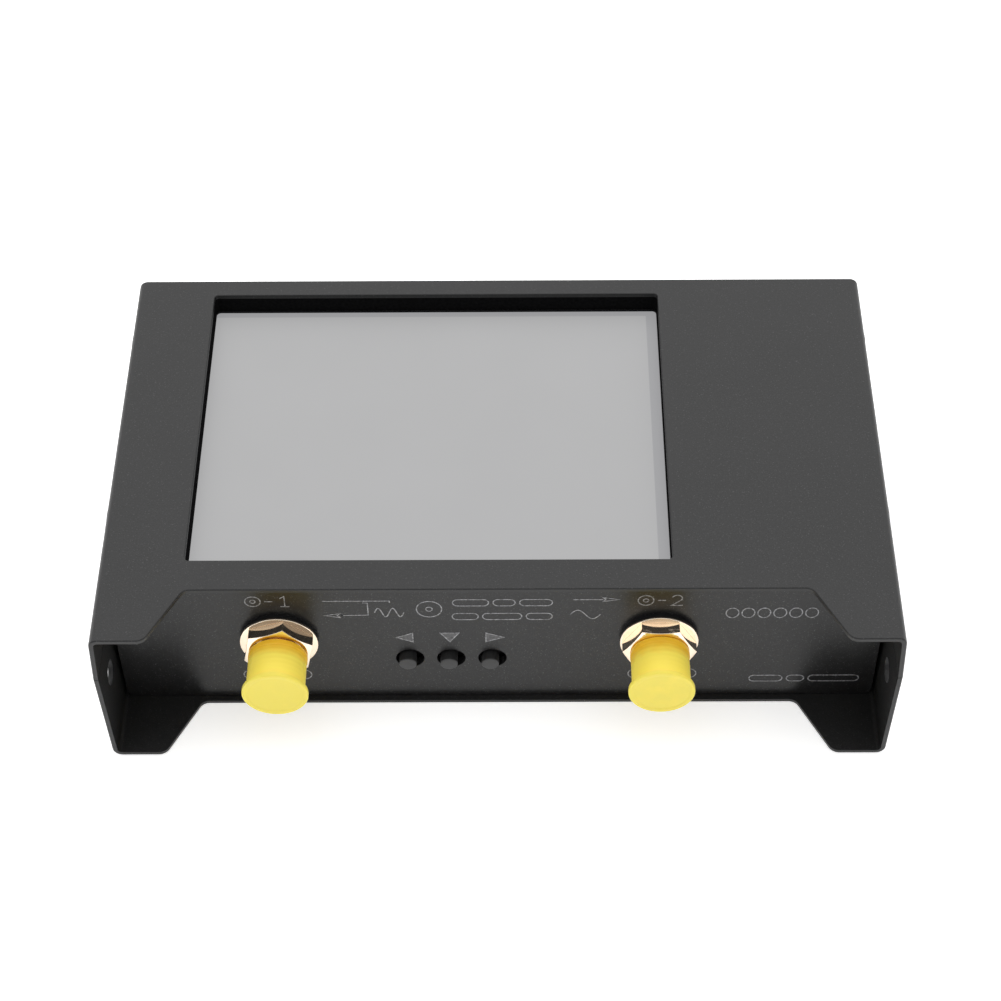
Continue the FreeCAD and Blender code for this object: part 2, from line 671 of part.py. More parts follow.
def make_standoff(x, y):
    reach = STANDOFF_ACROSS_FLATS / math.sqrt(3)
    angles = [math.radians(60 * k) for k in range(6)]
    corners = [V(x + reach * math.cos(a), y + reach * math.sin(a), FLOOR) for a in angles]
    pillar = prism(corners, V(0, 0, BOARD_BOTTOM - FLOOR))
    tapped = BOARD_SCREW_RADIUS + FIT_GAP
    return pillar.cut(cylinder(x, y, tapped, BOARD_BOTTOM - 6, BOARD_BOTTOM + 1))


def make_board_screw(x, y):
    shank = cylinder(x, y, BOARD_SCREW_RADIUS, BOARD_BOTTOM - 4.5, BOARD_TOP)
    head = cylinder(x, y, BOARD_SCREW_HEAD, BOARD_TOP, BOARD_TOP + 1.5)
    cross = box(x - 1.2, x + 1.2, y - 0.25, y + 0.25, BOARD_TOP + 0.8, BOARD_TOP + 2)
    return shank.fuse(head).cut(cross)


def make_rear_panel():
    panel = rounded_plate(PANEL_HALF_WIDTH, FLOOR + PANEL_CLEARANCE, CEILING - PANEL_CLEARANCE,
                          REAR_PANEL_INSIDE, REAR_PANEL_FACE, PANEL_CORNER)
    start = REAR_PANEL_INSIDE - 1
    end = REAR_PANEL_FACE + 1
    panel = panel.cut(slot_y(USB_X, USB_Z, *USB_HOLE, start, end))
    panel = panel.cut(slot_y(SLIDE_X, SLIDE_Z, *SLIDE_HOLE, start, end))
    for x in LIGHT_XS.values():
        panel = panel.cut(rod_y(x, SLIDE_Z, LIGHT_RADIUS + 0.15, start, end))
    wide = BLOCK_SCREW_HEAD + 0.1
    narrow = wide - 0.9
    for x in (-BLOCK_X, BLOCK_X):
        panel = panel.cut(turned_y([(0, start), (narrow, start), (narrow, REAR_PANEL_FACE - 0.9),
                                    (wide, REAR_PANEL_FACE), (wide, end), (0, end)], x, BLOCK_SCREW_Z))
    return panel


def make_rear_block(x):
    half = BLOCK_WIDTH / 2
    block = box(x - half, x + half, BLOCK_START, REAR_PANEL_INSIDE, FLOOR, FLOOR + BLOCK_WIDTH)
    return block.cut(rod_y(x, BLOCK_SCREW_Z, BLOCK_SCREW_HEAD / 2 + FIT_GAP, BLOCK_START + 1.6,
                           REAR_PANEL_INSIDE + 1))


def make_rear_screw(x):
    face = REAR_PANEL_FACE - 0.05
    shank = BLOCK_SCREW_HEAD / 2
    tip = face - BLOCK_SCREW_LENGTH
    profile = [(0, face), (BLOCK_SCREW_HEAD, face), (shank, face - shank), (shank, tip), (0, tip)]
    screw = turned_y(profile, x, BLOCK_SCREW_Z)
    return screw.cut(hexagon_y(x, BLOCK_SCREW_Z, 1.3, 0, face - 0.7, face + 1))


def make_usb_shell():
    outer = slot_y(USB_X, USB_Z, USB_WIDTH, USB_HEIGHT, USB_BACK, USB_MOUTH)
    return outer.cut(slot_y(USB_X, USB_Z, USB_WIDTH - 2 * USB_WALL, USB_HEIGHT - 2 * USB_WALL,
                            USB_BACK + USB_WALL, USB_MOUTH + 1))


def make_usb_tongue():
    left = USB_X - USB_TONGUE_HALF
    right = USB_X + USB_TONGUE_HALF
    root = USB_BACK + 1.6
    block = box(left, right, USB_BACK + USB_WALL, root, USB_Z - 1.2, USB_Z + 1.2)
    return block.fuse(box(left, right, root, USB_MOUTH - 0.6, USB_Z - 0.35, USB_Z + 0.35))


def make_slide_body():
    """Body of the slide switch, open at the back for its knob."""
    front, back = SLIDE_BODY_YS
    half = SLIDE_BODY_HALF
    room = KNOB_TRAVEL / 2 + 1.7
    rise = KNOB_HALF_HEIGHT + 0.2
    body = box(SLIDE_X - half, SLIDE_X + half, front, back, BOARD_TOP, BOARD_TOP + SLIDE_BODY_HEIGHT)
    track = box(SLIDE_X - room, SLIDE_X + room, front + 1.8, back + 1, SLIDE_Z - rise, SLIDE_Z + rise)
    return body.cut(track)


def make_slide_knob():
    """Knob at the left end of its travel: a foot in the body and a lever through the panel."""
    front, back = SLIDE_BODY_YS
    wide = KNOB_HALF_WIDTH + 0.35
    low = SLIDE_Z - KNOB_HALF_HEIGHT
    high = SLIDE_Z + KNOB_HALF_HEIGHT
    foot = box(KNOB_X - wide, KNOB_X + wide, front + 2.0, back - 0.1, low, high)
    lever = box(KNOB_X - KNOB_HALF_WIDTH, KNOB_X + KNOB_HALF_WIDTH, back - 1, REAR - 0.3, low, high)
    return foot.fuse(lever).removeSplitter()


def make_status_light(x):
    """Lamp on the board with a round light guide that ends just proud of the rear panel."""
    front, back = LIGHT_BASE_YS
    base = box(x - 1.5, x + 1.5, front, back, BOARD_TOP, BOARD_TOP + 3.2)
    profile = [(0, back - 0.5), (LIGHT_RADIUS, back - 0.5), (LIGHT_RADIUS, REAR_PANEL_FACE),
               (LIGHT_RADIUS - 0.4, REAR_PANEL_FACE + 0.25), (0, REAR_PANEL_FACE + 0.3)]
    return base.fuse(turned_y(profile, x, SLIDE_Z))


def make_cell():
    x0, x1, y0, y1 = CELL
    pouch = box(x0, x1, y0, y1, CELL_BOTTOM, CELL_TOP)
    long_edges = [e for e in pouch.Edges if abs(e.tangentAt(e.FirstParameter).x) > 0.999]
    return pouch.makeFillet(CELL_ROUND, long_edges)


def make_lead(y):
    """One battery wire, from the cell's own board up to the plug."""
    half = LEAD_BEND * (1 - math.sqrt(0.5))
    low = LEAD_START_Z
    high = (PLUG[4] + PLUG[5]) / 2
    start = V(CELL_BOARD[1], y, low)
    end = V(PLUG[0], y, high)
    turn_in = V(LEAD_RISE_X - LEAD_BEND, y, low)
    up_from = V(LEAD_RISE_X, y, low + LEAD_BEND)
    up_to = V(LEAD_RISE_X, y, high - LEAD_BEND)
    turn_out = V(LEAD_RISE_X + LEAD_BEND, y, high)
    path = Part.Wire([
        Part.makeLine(start, turn_in),
        Part.Arc(turn_in, V(LEAD_RISE_X - half, y, low + half), up_from).toShape(),
        Part.makeLine(up_from, up_to),
        Part.Arc(up_to, V(LEAD_RISE_X + half, y, high - half), turn_out).toShape(),
        Part.makeLine(turn_out, end),
    ])
    ring = Part.Wire(Part.makeCircle(LEAD_RADIUS, start, V(1, 0, 0)))
    return path.makePipeShell([ring], True, False)


def build_case():
    save("top_cover", make_top_cover())
    save("bottom_cover", make_bottom_cover())
    save("front_panel", make_front_panel())
    save("rear_panel", make_rear_panel())
    for end, y in zip(("front", "rear"), COVER_SCREW_YS):
        bracket = make_bracket(y)
        save("side_bracket_right_" + end, bracket)
        save("side_bracket_left_" + end, mirrored(bracket))
    screws = [make_cover_screw(origin) for origin in screw_axes()]
    save("cover_screws", *screws, *[mirrored(s) for s in screws])
    save("rear_blocks", make_rear_block(-BLOCK_X), make_rear_block(BLOCK_X))
    save("rear_panel_screws", make_rear_screw(-BLOCK_X), make_rear_screw(BLOCK_X))


def build_ports():
    for side, x in PORT_X.items():
        save("port_jack_" + side, make_jack(x))
        save("port_insulator_" + side, make_insulator(x))
        save("port_contact_" + side, make_contact(x))
        save("seal_ring_" + side, make_seal(x))
        save("flange_washer_" + side, make_washer(x))
        save("port_nut_" + side, make_nut(x, NUT_TURN[side]))
        save("dust_cap_" + side, make_dust_cap(x, CAP_MOUTH[side]))


def build_buttons():
    domes = []
    for k, side in enumerate(BUTTON_NAMES):
        x = PLUNGER_X + (k - 1) * BUTTON_PITCH
        save("tact_switch_" + side, make_tact_switch(x))
        save("button_" + side, make_plunger(x))
        domes.append(make_dome(x))
    save("switch_domes", *domes)


def build_display():
    inset = TRAY_THICK + 0.1
    save("display_gasket", make_gasket())
    save("protective_film", make_film())
    save("touch_panel", box(TRAY_LEFT, TRAY_RIGHT, TRAY_FRONT, TRAY_REAR, GLASS_TOP, TOUCH_TOP))
    save("lcd_glass", box(TRAY_LEFT + inset, TRAY_RIGHT - 1.6, TRAY_FRONT + inset, TRAY_REAR - inset,
                          GLASS_TOP - GLASS_THICK, GLASS_TOP))
    save("backlight", box(TRAY_LEFT + inset, TRAY_RIGHT - inset, TRAY_FRONT + inset, TRAY_REAR - inset,
                          TRAY_BOTTOM + TRAY_THICK, LIGHT_TOP))
    save("lcd_frame", make_tray())
    save("display_flex", make_flex())
    save("display_connector", box(*CONNECTOR, BOARD_TOP, BOARD_TOP + CONNECTOR_HEIGHT))
    spacers = [cylinder(x, y, SPACER_RADIUS, BOARD_TOP, TRAY_BOTTOM) for x, y in SPACER_PLACES]
    save("display_spacers", *spacers)


def build_electronics():
    places = [(x, y) for x in (-STANDOFF_X, STANDOFF_X) for y in STANDOFF_YS]
    save("main_board", make_board())
    save("board_standoffs", *[make_standoff(x, y) for x, y in places])
    save("board_screws", *[make_board_screw(x, y) for x, y in places])
    for side, sides in SHIELDS.items():
        save("shield_can_" + side, make_shield(*sides))
    save("processor_chip", box(*PROCESSOR, BOARD_TOP + 0.05, BOARD_TOP + PROCESSOR_HEIGHT))
    save("memory_chip", box(*MEMORY, BOARD_TOP + 0.05, BOARD_TOP + MEMORY_HEIGHT))
    save("usb_shell", make_usb_shell())
    save("usb_tongue", make_usb_tongue())
    save("power_switch_body", make_slide_body())
    save("power_switch_knob", make_slide_knob())
    for side, x in LIGHT_XS.items():
        save("status_light_" + side, make_status_light(x))


def build_battery():
    x0, x1, y0, y1 = CELL
    save("battery_cell", make_cell())
    save("battery_pad", box(x0 + 3, x1 - 3, y0 + 3, y1 - 3, FLOOR, CELL_BOTTOM))
    save("battery_board", box(*CELL_BOARD))
    save("battery_lead", *[make_lead(y) for y in LEAD_YS])
    save("battery_plug", box(*PLUG))
    save("battery_header", box(*HEADER))


os.makedirs("parts", exist_ok=True)
build_case()
build_ports()
build_buttons()
build_display()
build_electronics()
build_battery()
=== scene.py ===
"""Looks of a handheld vector network analyzer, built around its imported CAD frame.

Metres, +Z up, ports towards -Y, origin at the centre of the case's underside.
Each sub-assembly is a class that builds its meshes and dresses its CAD nodes; each finish is a
small frozen class that makes one procedural material.
"""
import logging
import math
from dataclasses import dataclass, field
from enum import Enum
from typing import Any, Iterable, Sequence

import bmesh
import bpy
import numpy as np
from mathutils import Matrix, Vector


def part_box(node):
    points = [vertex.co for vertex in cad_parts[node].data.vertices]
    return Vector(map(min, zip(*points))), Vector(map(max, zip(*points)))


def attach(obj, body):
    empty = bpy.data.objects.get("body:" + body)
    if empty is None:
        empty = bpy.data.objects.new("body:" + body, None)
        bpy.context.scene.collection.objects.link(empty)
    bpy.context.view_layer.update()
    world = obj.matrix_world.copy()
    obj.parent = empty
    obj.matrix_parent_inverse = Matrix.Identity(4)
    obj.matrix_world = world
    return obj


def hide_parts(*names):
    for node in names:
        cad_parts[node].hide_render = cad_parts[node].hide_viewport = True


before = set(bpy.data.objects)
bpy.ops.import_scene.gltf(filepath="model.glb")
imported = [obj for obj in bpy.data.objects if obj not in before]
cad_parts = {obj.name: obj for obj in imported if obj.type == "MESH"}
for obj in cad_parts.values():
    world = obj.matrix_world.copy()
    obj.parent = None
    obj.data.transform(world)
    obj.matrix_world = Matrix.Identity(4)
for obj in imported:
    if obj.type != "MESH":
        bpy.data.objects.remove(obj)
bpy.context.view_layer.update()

LOG = logging.getLogger("analyzer")
MM = 0.001
Colour = tuple[float, float, float]
Points = np.ndarray


# --------------------------------------------------------------------------- surfaces


def add_object(name: str, mesh: bpy.types.Mesh) -> bpy.types.Object:
    """Put a mesh into the scene as an object at the origin.

    Args:
        name: the object's name.
        mesh: its mesh, with its place in its vertices.

    Returns:
        The new object.
    """
    piece = bpy.data.objects.new(name, mesh)
    bpy.context.scene.collection.objects.link(piece)
    return piece


def shade(mesh: bpy.types.Mesh, crease: float | None = 30.0) -> None:
    """Shade a mesh smoothly, with sharp edges past an angle.

    Args:
        mesh: the mesh.
        crease: the angle in degrees past which an edge stays sharp, or None for none.
    """
    mesh.polygons.foreach_set("use_smooth", np.ones(len(mesh.polygons), dtype=bool))
    if crease is not None:
        mesh.set_sharp_from_angle(angle=math.radians(crease))
    mesh.update()


def grid_faces(rows: int, columns: int, wrap_rows: bool, wrap_columns: bool) -> Points:
    """Quads of a grid of rows x columns vertices, numbered row by row.

    The quad of cell (i, j) joins (i, j), (i, j+1), (i+1, j+1) and (i+1, j), where an index past
    the end comes back to 0 if that direction wraps.

    Args:
        rows: number of rows.
        columns: number of columns.
        wrap_rows: whether the last row joins the first.
        wrap_columns: whether the last column joins the first.

    Returns:
        An array of shape (cells, 4) of vertex numbers.
    """
    i = np.arange(rows if wrap_rows else rows - 1)[:, None]
    j = np.arange(columns if wrap_columns else columns - 1)[None, :]
    below = (i + 1) % rows
    right = (j + 1) % columns
    corners = [i * columns + j, i * columns + right, below * columns + right, below * columns + j]
    shape = np.broadcast_shapes(i.shape, j.shape)
    return np.stack([np.broadcast_to(c, shape).ravel() for c in corners], 1)


def mesh_from(name: str, vertices: Points, faces: Iterable[Sequence[int]]) -> bpy.types.Mesh:
    """Make a mesh whose faces point outwards.

    Args:
        name: the mesh's name.
        vertices: an array of shape (n, 3).
        faces: vertex numbers of each face.

    Returns:
        The mesh.
    """
    mesh = bpy.data.meshes.new(name)
    mesh.from_pydata(vertices.reshape(-1, 3).tolist(), [], [list(map(int, f)) for f in faces])
    mesh.validate()
    face_outwards(mesh)
    return mesh


def face_outwards(mesh: bpy.types.Mesh) -> None:
    """Turn a closed mesh's faces outwards, by the sign of its enclosed volume.

    The volume is the sum over triangles of a . (b x c) / 6; a negative sum means that the faces
    point inwards.

    Args:
        mesh: a closed mesh whose faces agree with each other.
    """
    mesh.calc_loop_triangles()
    corners = np.empty(len(mesh.loop_triangles) * 3, dtype=np.int32)
    mesh.loop_triangles.foreach_get("vertices", corners)
    places = np.empty(len(mesh.vertices) * 3)
    mesh.vertices.foreach_get("co", places)
    a, b, c = places.reshape(-1, 3)[corners.reshape(-1, 3)].transpose(1, 0, 2)
    if float(np.einsum("ij,ij->", a, np.cross(b, c))) < 0.0:
        mesh.flip_normals()


def rounded_profile(points: Sequence[tuple[float, float, float]], steps: int = 5,
                    closed: bool = False) -> Points:
    """Polyline whose corners are replaced by arcs.

    A corner with radius r is cut back by r / tan(half its inner angle) along both sides, and the
    arc between the two cuts is divided evenly.

    Args:
        points: (a, b, radius) of each corner.
        steps: divisions of each arc.
        closed: whether the last corner joins the first.

    Returns:
        An array of shape (n, 2).
    """
    corners = np.array([p[:2] for p in points], dtype=float)
    radii = [p[2] for p in points]
    count = len(corners)
    result: list[Points] = []
    for k in range(count):
        here = corners[k]
        inner = closed or 0 < k < count - 1
        if radii[k] <= 0.0 or not inner:
            result.append(here)
            continue
        before = corners[(k - 1) % count] - here
        after = corners[(k + 1) % count] - here
        before /= np.linalg.norm(before)
        after /= np.linalg.norm(after)
        half = math.acos(float(np.clip(before @ after, -1.0, 1.0))) / 2
        bisector = (before + after) / np.linalg.norm(before + after)
        centre = here + bisector * radii[k] / math.sin(half)
        start = here + before * radii[k] / math.tan(half) - centre
        sweep = math.pi - 2 * half
        turn = math.copysign(1.0, float(before[0] * after[1] - before[1] * after[0]))
        for angle in np.linspace(0.0, sweep, steps + 1) * -turn:
            spin = np.array([[math.cos(angle), -math.sin(angle)], [math.sin(angle), math.cos(angle)]])
            result.append(centre + spin @ start)
    return np.array(result)


def turned(name: str, profile: Points, x: float, z: float, segments: int = 128,
           crease: float | None = 30.0) -> bpy.types.Object:
    """Surface of revolution about the line along Y through (x, z).

    Point (i, j) is (x + r_i cos t_j, y_i, z + r_i sin t_j), with t_j evenly round the circle.
    A profile that starts and ends on the axis is closed by poles; any other is a ring, whose last
    point joins its first.

    Args:
        name: the object's name.
        profile: (radius, y) pairs.
        x: place of the axis.
        z: height of the axis.
        segments: divisions round the axis.
        crease: as in shade().

    Returns:
        The object.
    """
    angle = np.linspace(0.0, 2 * math.pi, segments, endpoint=False)
    pole = bool(profile[0, 0] < 1e-9 and profile[-1, 0] < 1e-9)
    rings = profile[1:-1] if pole else profile
    radius, y = rings[:, :1], rings[:, 1:]
    grid = np.stack([x + radius * np.cos(angle), np.broadcast_to(y, (len(rings), segments)),
                     z + radius * np.sin(angle)], axis=2)
    faces = grid_faces(len(rings), segments, not pole, True).tolist()
    vertices = grid.reshape(-1, 3)
    if pole:
        first, last = len(vertices), len(vertices) + 1
        ends = np.array([[x, profile[0, 1], z], [x, profile[-1, 1], z]])
        vertices = np.concatenate([vertices, ends])
        j = np.arange(segments)
        after = (j + 1) % segments
        base = (len(rings) - 1) * segments
        faces += np.stack([np.full(segments, first), after, j], 1).tolist()
        faces += np.stack([np.full(segments, last), base + j, base + after], 1).tolist()
    mesh = mesh_from(name, vertices, faces)
    shade(mesh, crease)
    return add_object(name, mesh)


def ribbon_outline(path: Points, width: float, closed: bool = False) -> tuple[Points, Points]:
    """Both edges of a stroke of even width along a path.

    The offset at a corner is along the mean of its two normals, lengthened by 1 / cos(half turn),
    so that the stroke keeps its width round the corner.

    Args:
        path: (a, b) pairs.
        width: the stroke's width.
        closed: whether the path comes back to its start.

    Returns:
        The left edge and the right edge, each of the path's length.
    """
    ahead = np.roll(path, -1, axis=0) - path
    behind = path - np.roll(path, 1, axis=0)
    if not closed:
        ahead[-1] = behind[-1]
        behind[0] = ahead[0]
    ahead /= np.linalg.norm(ahead, axis=1, keepdims=True)
    behind /= np.linalg.norm(behind, axis=1, keepdims=True)
    normal = np.stack([-(ahead + behind)[:, 1], (ahead + behind)[:, 0]], 1)
    length = np.linalg.norm(normal, axis=1, keepdims=True)
    offset = normal / length * (width / 2) / np.maximum(length / 2, 0.35)
    return path + offset, path - offset


def ellipse(centre: tuple[float, float], a: float, b: float, count: int = 40) -> Points:
    """Points of an ellipse: centre + (a cos t, b sin t), with t evenly round the circle.

    Args:
        centre: its middle.
        a: half of its width.
        b: half of its height.
        count: number of points.

    Returns:
        An array of shape (count, 2).
    """
    t = np.linspace(0.0, 2 * math.pi, count, endpoint=False)
    return np.stack([centre[0] + a * np.cos(t), centre[1] + b * np.sin(t)], 1)


def capsule(centre: tuple[float, float], width: float, height: float) -> Points:
    """Closed path of a bar with round ends: two half circles joined by straight sides.

    Args:
        centre: its middle.
        width: its whole width.
        height: its height, twice the radius of its ends.

    Returns:
        An array of shape (n, 2).
    """
    reach = (width - height) / 2
    t = np.linspace(-math.pi / 2, math.pi / 2, 13)
    arc = np.stack([np.cos(t), np.sin(t)], 1) * height / 2
    right = arc + np.array([centre[0] + reach, centre[1]])
    left = -arc + np.array([centre[0] - reach, centre[1]])
    return np.concatenate([right, left])


# --------------------------------------------------------------------------- finishes


class NodeSheet:
    """Shader nodes of one new material, with short ways to add and join them."""

    PREFIX = "look_"

    def __init__(self, name: str) -> None:
        """Start a material that has only its output and its main shader.

        Args:
            name: the finish's name.
        """
        self.material = bpy.data.materials.new(self.PREFIX + name)
        self.material.use_nodes = True
        self.tree = self.material.node_tree
        self.tree.nodes.clear()
        self.output = self.add("ShaderNodeOutputMaterial")
        self.shader = self.add("ShaderNodeBsdfPrincipled")
        self.join(self.shader, "BSDF", self.output, "Surface")
        self.place = self.add("ShaderNodeTexCoord")

    def add(self, kind: str, inputs: dict[str, Any] | None = None, **settings: Any) -> bpy.types.ShaderNode:
        """Add a node.

        Args:
            kind: the node's type.
            inputs: values of its sockets, by name.
            settings: attributes of the node.

        Returns:
            The node.
        """
        node = self.tree.nodes.new(kind)
        for key, value in settings.items():
            setattr(node, key, value)
        for key, value in (inputs or {}).items():
            node.inputs[key].default_value = value
        return node

    def join(self, source: bpy.types.ShaderNode, output: str | int, target: bpy.types.ShaderNode,
             socket: str | int) -> None:
        """Link one node's output to another's input.

        Args:
            source: the node that gives.
            output: which of its outputs.
            target: the node that takes.
            socket: which of its inputs.
        """
        self.tree.links.new(source.outputs[output], target.inputs[socket])

    def noise(self, size: float, detail: float = 3.0, roughness: float = 0.55) -> bpy.types.ShaderNode:
        """Noise on Object coordinates.

        Args:
            size: about how wide its features are, in metres.
            detail: number of finer layers.
            roughness: how strong each finer layer is.

        Returns:
            The Noise Texture node.
        """
        node = self.add("ShaderNodeTexNoise", {"Scale": 1.0 / size, "Detail": detail,
                                               "Roughness": roughness})
        self.join(self.place, "Object", node, "Vector")
        return node

    def spread(self, source: bpy.types.ShaderNode, output: str | int, low: float, high: float,
               centre: float = 0.5, width: float = 0.5) -> bpy.types.ShaderNode:
        """Map a texture's range onto low to high.

        Args:
            source: the texture.
            output: which of its outputs.
            low: value at the range's bottom.
            high: value at its top.
            centre: middle of the texture's range.
            width: width of that range.

        Returns:
            The Map Range node.
        """
        node = self.add("ShaderNodeMapRange", {"From Min": centre - width / 2,
                                               "From Max": centre + width / 2,
                                               "To Min": low, "To Max": high})
        self.join(source, output, node, "Value")
        return node

    def ramp(self, source: bpy.types.ShaderNode, output: str | int,
             stops: Sequence[tuple[float, Colour]]) -> bpy.types.ShaderNode:
        """Colour ramp over a texture.

        Args:
            source: the texture.
            output: which of its outputs.
            stops: (position, colour) of each stop.

        Returns:
            The Color Ramp node.
        """
        node = self.add("ShaderNodeValToRGB")
        elements = node.color_ramp.elements
        while len(elements) < len(stops):
            elements.new(0.5)
        for element, (position, colour) in zip(elements, stops):
            element.position = position
            element.color = (*colour, 1.0)
        self.join(source, output, node, "Fac")
        return node

    def bump(self, heights: Sequence[tuple[bpy.types.ShaderNode, str | int, float]]) -> None:
        """Chain of bumps that ends in the shader's normal.

        Args:
            heights: texture, output and height in metres of each bump.
        """
        last: bpy.types.ShaderNode | None = None
        for source, output, distance in heights:
            node = self.add("ShaderNodeBump", {"Strength": 1.0, "Distance": distance})
            self.join(source, output, node, "Height")
            if last is not None:
                self.join(last, "Normal", node, "Normal")
            last = node
        if last is not None:
            self.join(last, "Normal", self.shader, "Normal")


def scaled(colour: Colour, factor: float) -> Colour:
    """Brighten or darken a colour.

    Args:
        colour: the colour.
        factor: what each channel is multiplied by.

    Returns:
        The colour times the factor, held to white.
    """
    return tuple(min(1.0, c * factor) for c in colour)


@dataclass(frozen=True)
class Finish:
    """Material with mottled colour, uneven roughness and a fine grain.

    The colour runs from colour x (1 - mottle) to colour x (1 + mottle) with a noise of
    mottle_size, the roughness from roughness - unevenness to roughness + unevenness, and the grain
    is a bump of grain_height with a noise of grain_size.
    """

    name: str
    colour: Colour
    roughness: float
    metallic: float = 0.0
    mottle: float = 0.08
    mottle_size: float = 4 * MM
    unevenness: float = 0.05
    grain_height: float = 0.004 * MM
    grain_size: float = 0.25 * MM
    constants: tuple[tuple[str, Any], ...] = ()

    def material(self) -> bpy.types.Material:
        """The material, made once.

        Returns:
            The material, new at the first call and the same after that.
        """
        made = bpy.data.materials.get(NodeSheet.PREFIX + self.name)
        return made or self.make()

    def make(self) -> bpy.types.Material:
        """Build the node tree.

        Returns:
            The new material.
        """
        sheet = NodeSheet(self.name)
        self.set_constants(sheet)
        tint = self.tint(sheet, sheet.noise(self.mottle_size))
        sheet.join(tint, "Color", sheet.shader, "Base Color")
        self.wear(sheet, sheet.noise(self.mottle_size * 0.4))
        sheet.bump([(sheet.noise(self.grain_size), "Fac", self.grain_height)])
        return sheet.material

    def tint(self, sheet: NodeSheet, patches: bpy.types.ShaderNode) -> bpy.types.ShaderNode:
        """Mottled colour.

        Args:
            sheet: the material's nodes.
            patches: the noise that mottles it.

        Returns:
            The ramp from the darkest to the palest shade.
        """
        return sheet.ramp(patches, "Fac", [(0.3, scaled(self.colour, 1 - self.mottle)),
                                           (0.7, scaled(self.colour, 1 + self.mottle))])

    def wear(self, sheet: NodeSheet, texture: bpy.types.ShaderNode) -> None:
        """Make the roughness uneven.

        Args:
            sheet: the material's nodes.
            texture: the noise that it follows.
        """
        rough = sheet.spread(texture, "Fac", self.roughness - self.unevenness,
                             self.roughness + self.unevenness)
        sheet.join(rough, "Result", sheet.shader, "Roughness")

    def set_constants(self, sheet: NodeSheet) -> None:
        """Set what is the same all over the surface on the shader's own sockets.

        Args:
            sheet: the material's nodes.
        """
        sheet.shader.inputs["Metallic"].default_value = self.metallic
        for key, value in self.constants:
            sheet.shader.inputs[key].default_value = value

    def dress(self, *pieces: bpy.types.Object) -> None:
        """Give this finish to pieces, in place of what they had.

        Args:
            pieces: the pieces.
        """
        for piece in pieces:
            slots = piece.data.materials
            count = max(1, len(slots))
            slots.clear()
            for _ in range(count):
                slots.append(self.material())


@dataclass(frozen=True)
class PowderCoat(Finish):
    """Baked powder on sheet metal: a low orange peel, a fine tooth and sparse pale specks.

    The tooth is a fine noise that multiplies the colour by 1 - tooth to 1 + tooth.
    """

    speck_size: float = 0.16 * MM
    tooth: float = 0.38
    peel_height: float = 0.006 * MM
    peel_size: float = 0.9 * MM
    speck_colour: Colour = (0.028, 0.028, 0.029)

    def make(self) -> bpy.types.Material:
        """Build the node tree: mottled base with specks where a fine noise peaks.

        Returns:
            The new material.
        """
        sheet = NodeSheet(self.name)
        self.set_constants(sheet)
        tint = self.tint(sheet, sheet.noise(self.mottle_size, 2.0))
        fine = sheet.noise(self.speck_size, 1.0)
        tooth = sheet.spread(fine, "Fac", 1.0 - self.tooth, 1.0 + self.tooth, 0.5, 0.3)
        toothed = sheet.add("ShaderNodeVectorMath", operation="SCALE")
        sheet.join(tint, "Color", toothed, 0)
        sheet.join(tooth, "Result", toothed, "Scale")
        specks = sheet.spread(fine, "Fac", 0.0, 1.0, 0.71, 0.05)
        mix = sheet.add("ShaderNodeMix", data_type="RGBA")
        mix.inputs["B"].default_value = (*self.speck_colour, 1.0)
        sheet.join(specks, "Result", mix, "Factor")
        sheet.join(toothed, "Vector", mix, "A")
        sheet.join(mix, "Result", sheet.shader, "Base Color")
        self.wear(sheet, fine)
        sheet.bump([(sheet.noise(self.peel_size, 2.0), "Fac", self.peel_height),
                    (sheet.noise(self.grain_size, 2.0), "Fac", self.grain_height)])
        return sheet.material


@dataclass(frozen=True)
class FilmFinish(Finish):
    """Frosted film over a display: pale over the picture area, greyer over its dead margins.

    An even painted emission in the film's own colours stands in for light, so the shade of the window's
    walls doesn't darken the film.
    """

    margin_colour: Colour = (0.069, 0.069, 0.071)
    # painted light: emission strength that keeps the film bright where the window's walls shade it
    painted_glow: float = 4.05
    picture_right: float = 0.0
    picture_rear: float = 0.0
    fade: float = 0.12 * MM

    def make(self) -> bpy.types.Material:
        """Build the node tree.

        The pale area ends at picture_right and picture_rear: each edge is a Map Range over fade on
        one Object coordinate, and the two are multiplied.

        Returns:
            The new material.
        """
        sheet = NodeSheet(self.name)
        self.set_constants(sheet)
        axes = sheet.add("ShaderNodeSeparateXYZ")
        sheet.join(sheet.place, "Object", axes, "Vector")
        right = sheet.spread(axes, "X", 1.0, 0.0, self.picture_right, self.fade)
        rear = sheet.spread(axes, "Y", 1.0, 0.0, self.picture_rear, self.fade)
        inside = sheet.add("ShaderNodeMath", operation="MULTIPLY")
        sheet.join(right, "Result", inside, 0)
        sheet.join(rear, "Result", inside, 1)
        patches = sheet.noise(self.mottle_size, 2.0)
        tint = self.tint(sheet, patches)
        mix = sheet.add("ShaderNodeMix", data_type="RGBA")
        mix.inputs["A"].default_value = (*self.margin_colour, 1.0)
        sheet.join(inside, "Value", mix, "Factor")
        sheet.join(tint, "Color", mix, "B")
        sheet.join(mix, "Result", sheet.shader, "Base Color")
        # painted light: the film emits its own colours, which hides the shade from the window's walls
        sheet.join(mix, "Result", sheet.shader, "Emission Color")
        sheet.shader.inputs["Emission Strength"].default_value = self.painted_glow
        grain = sheet.noise(self.grain_size)
        self.wear(sheet, grain)
        sheet.bump([(patches, "Fac", self.grain_height * 4), (grain, "Fac", self.grain_height)])
        return sheet.material


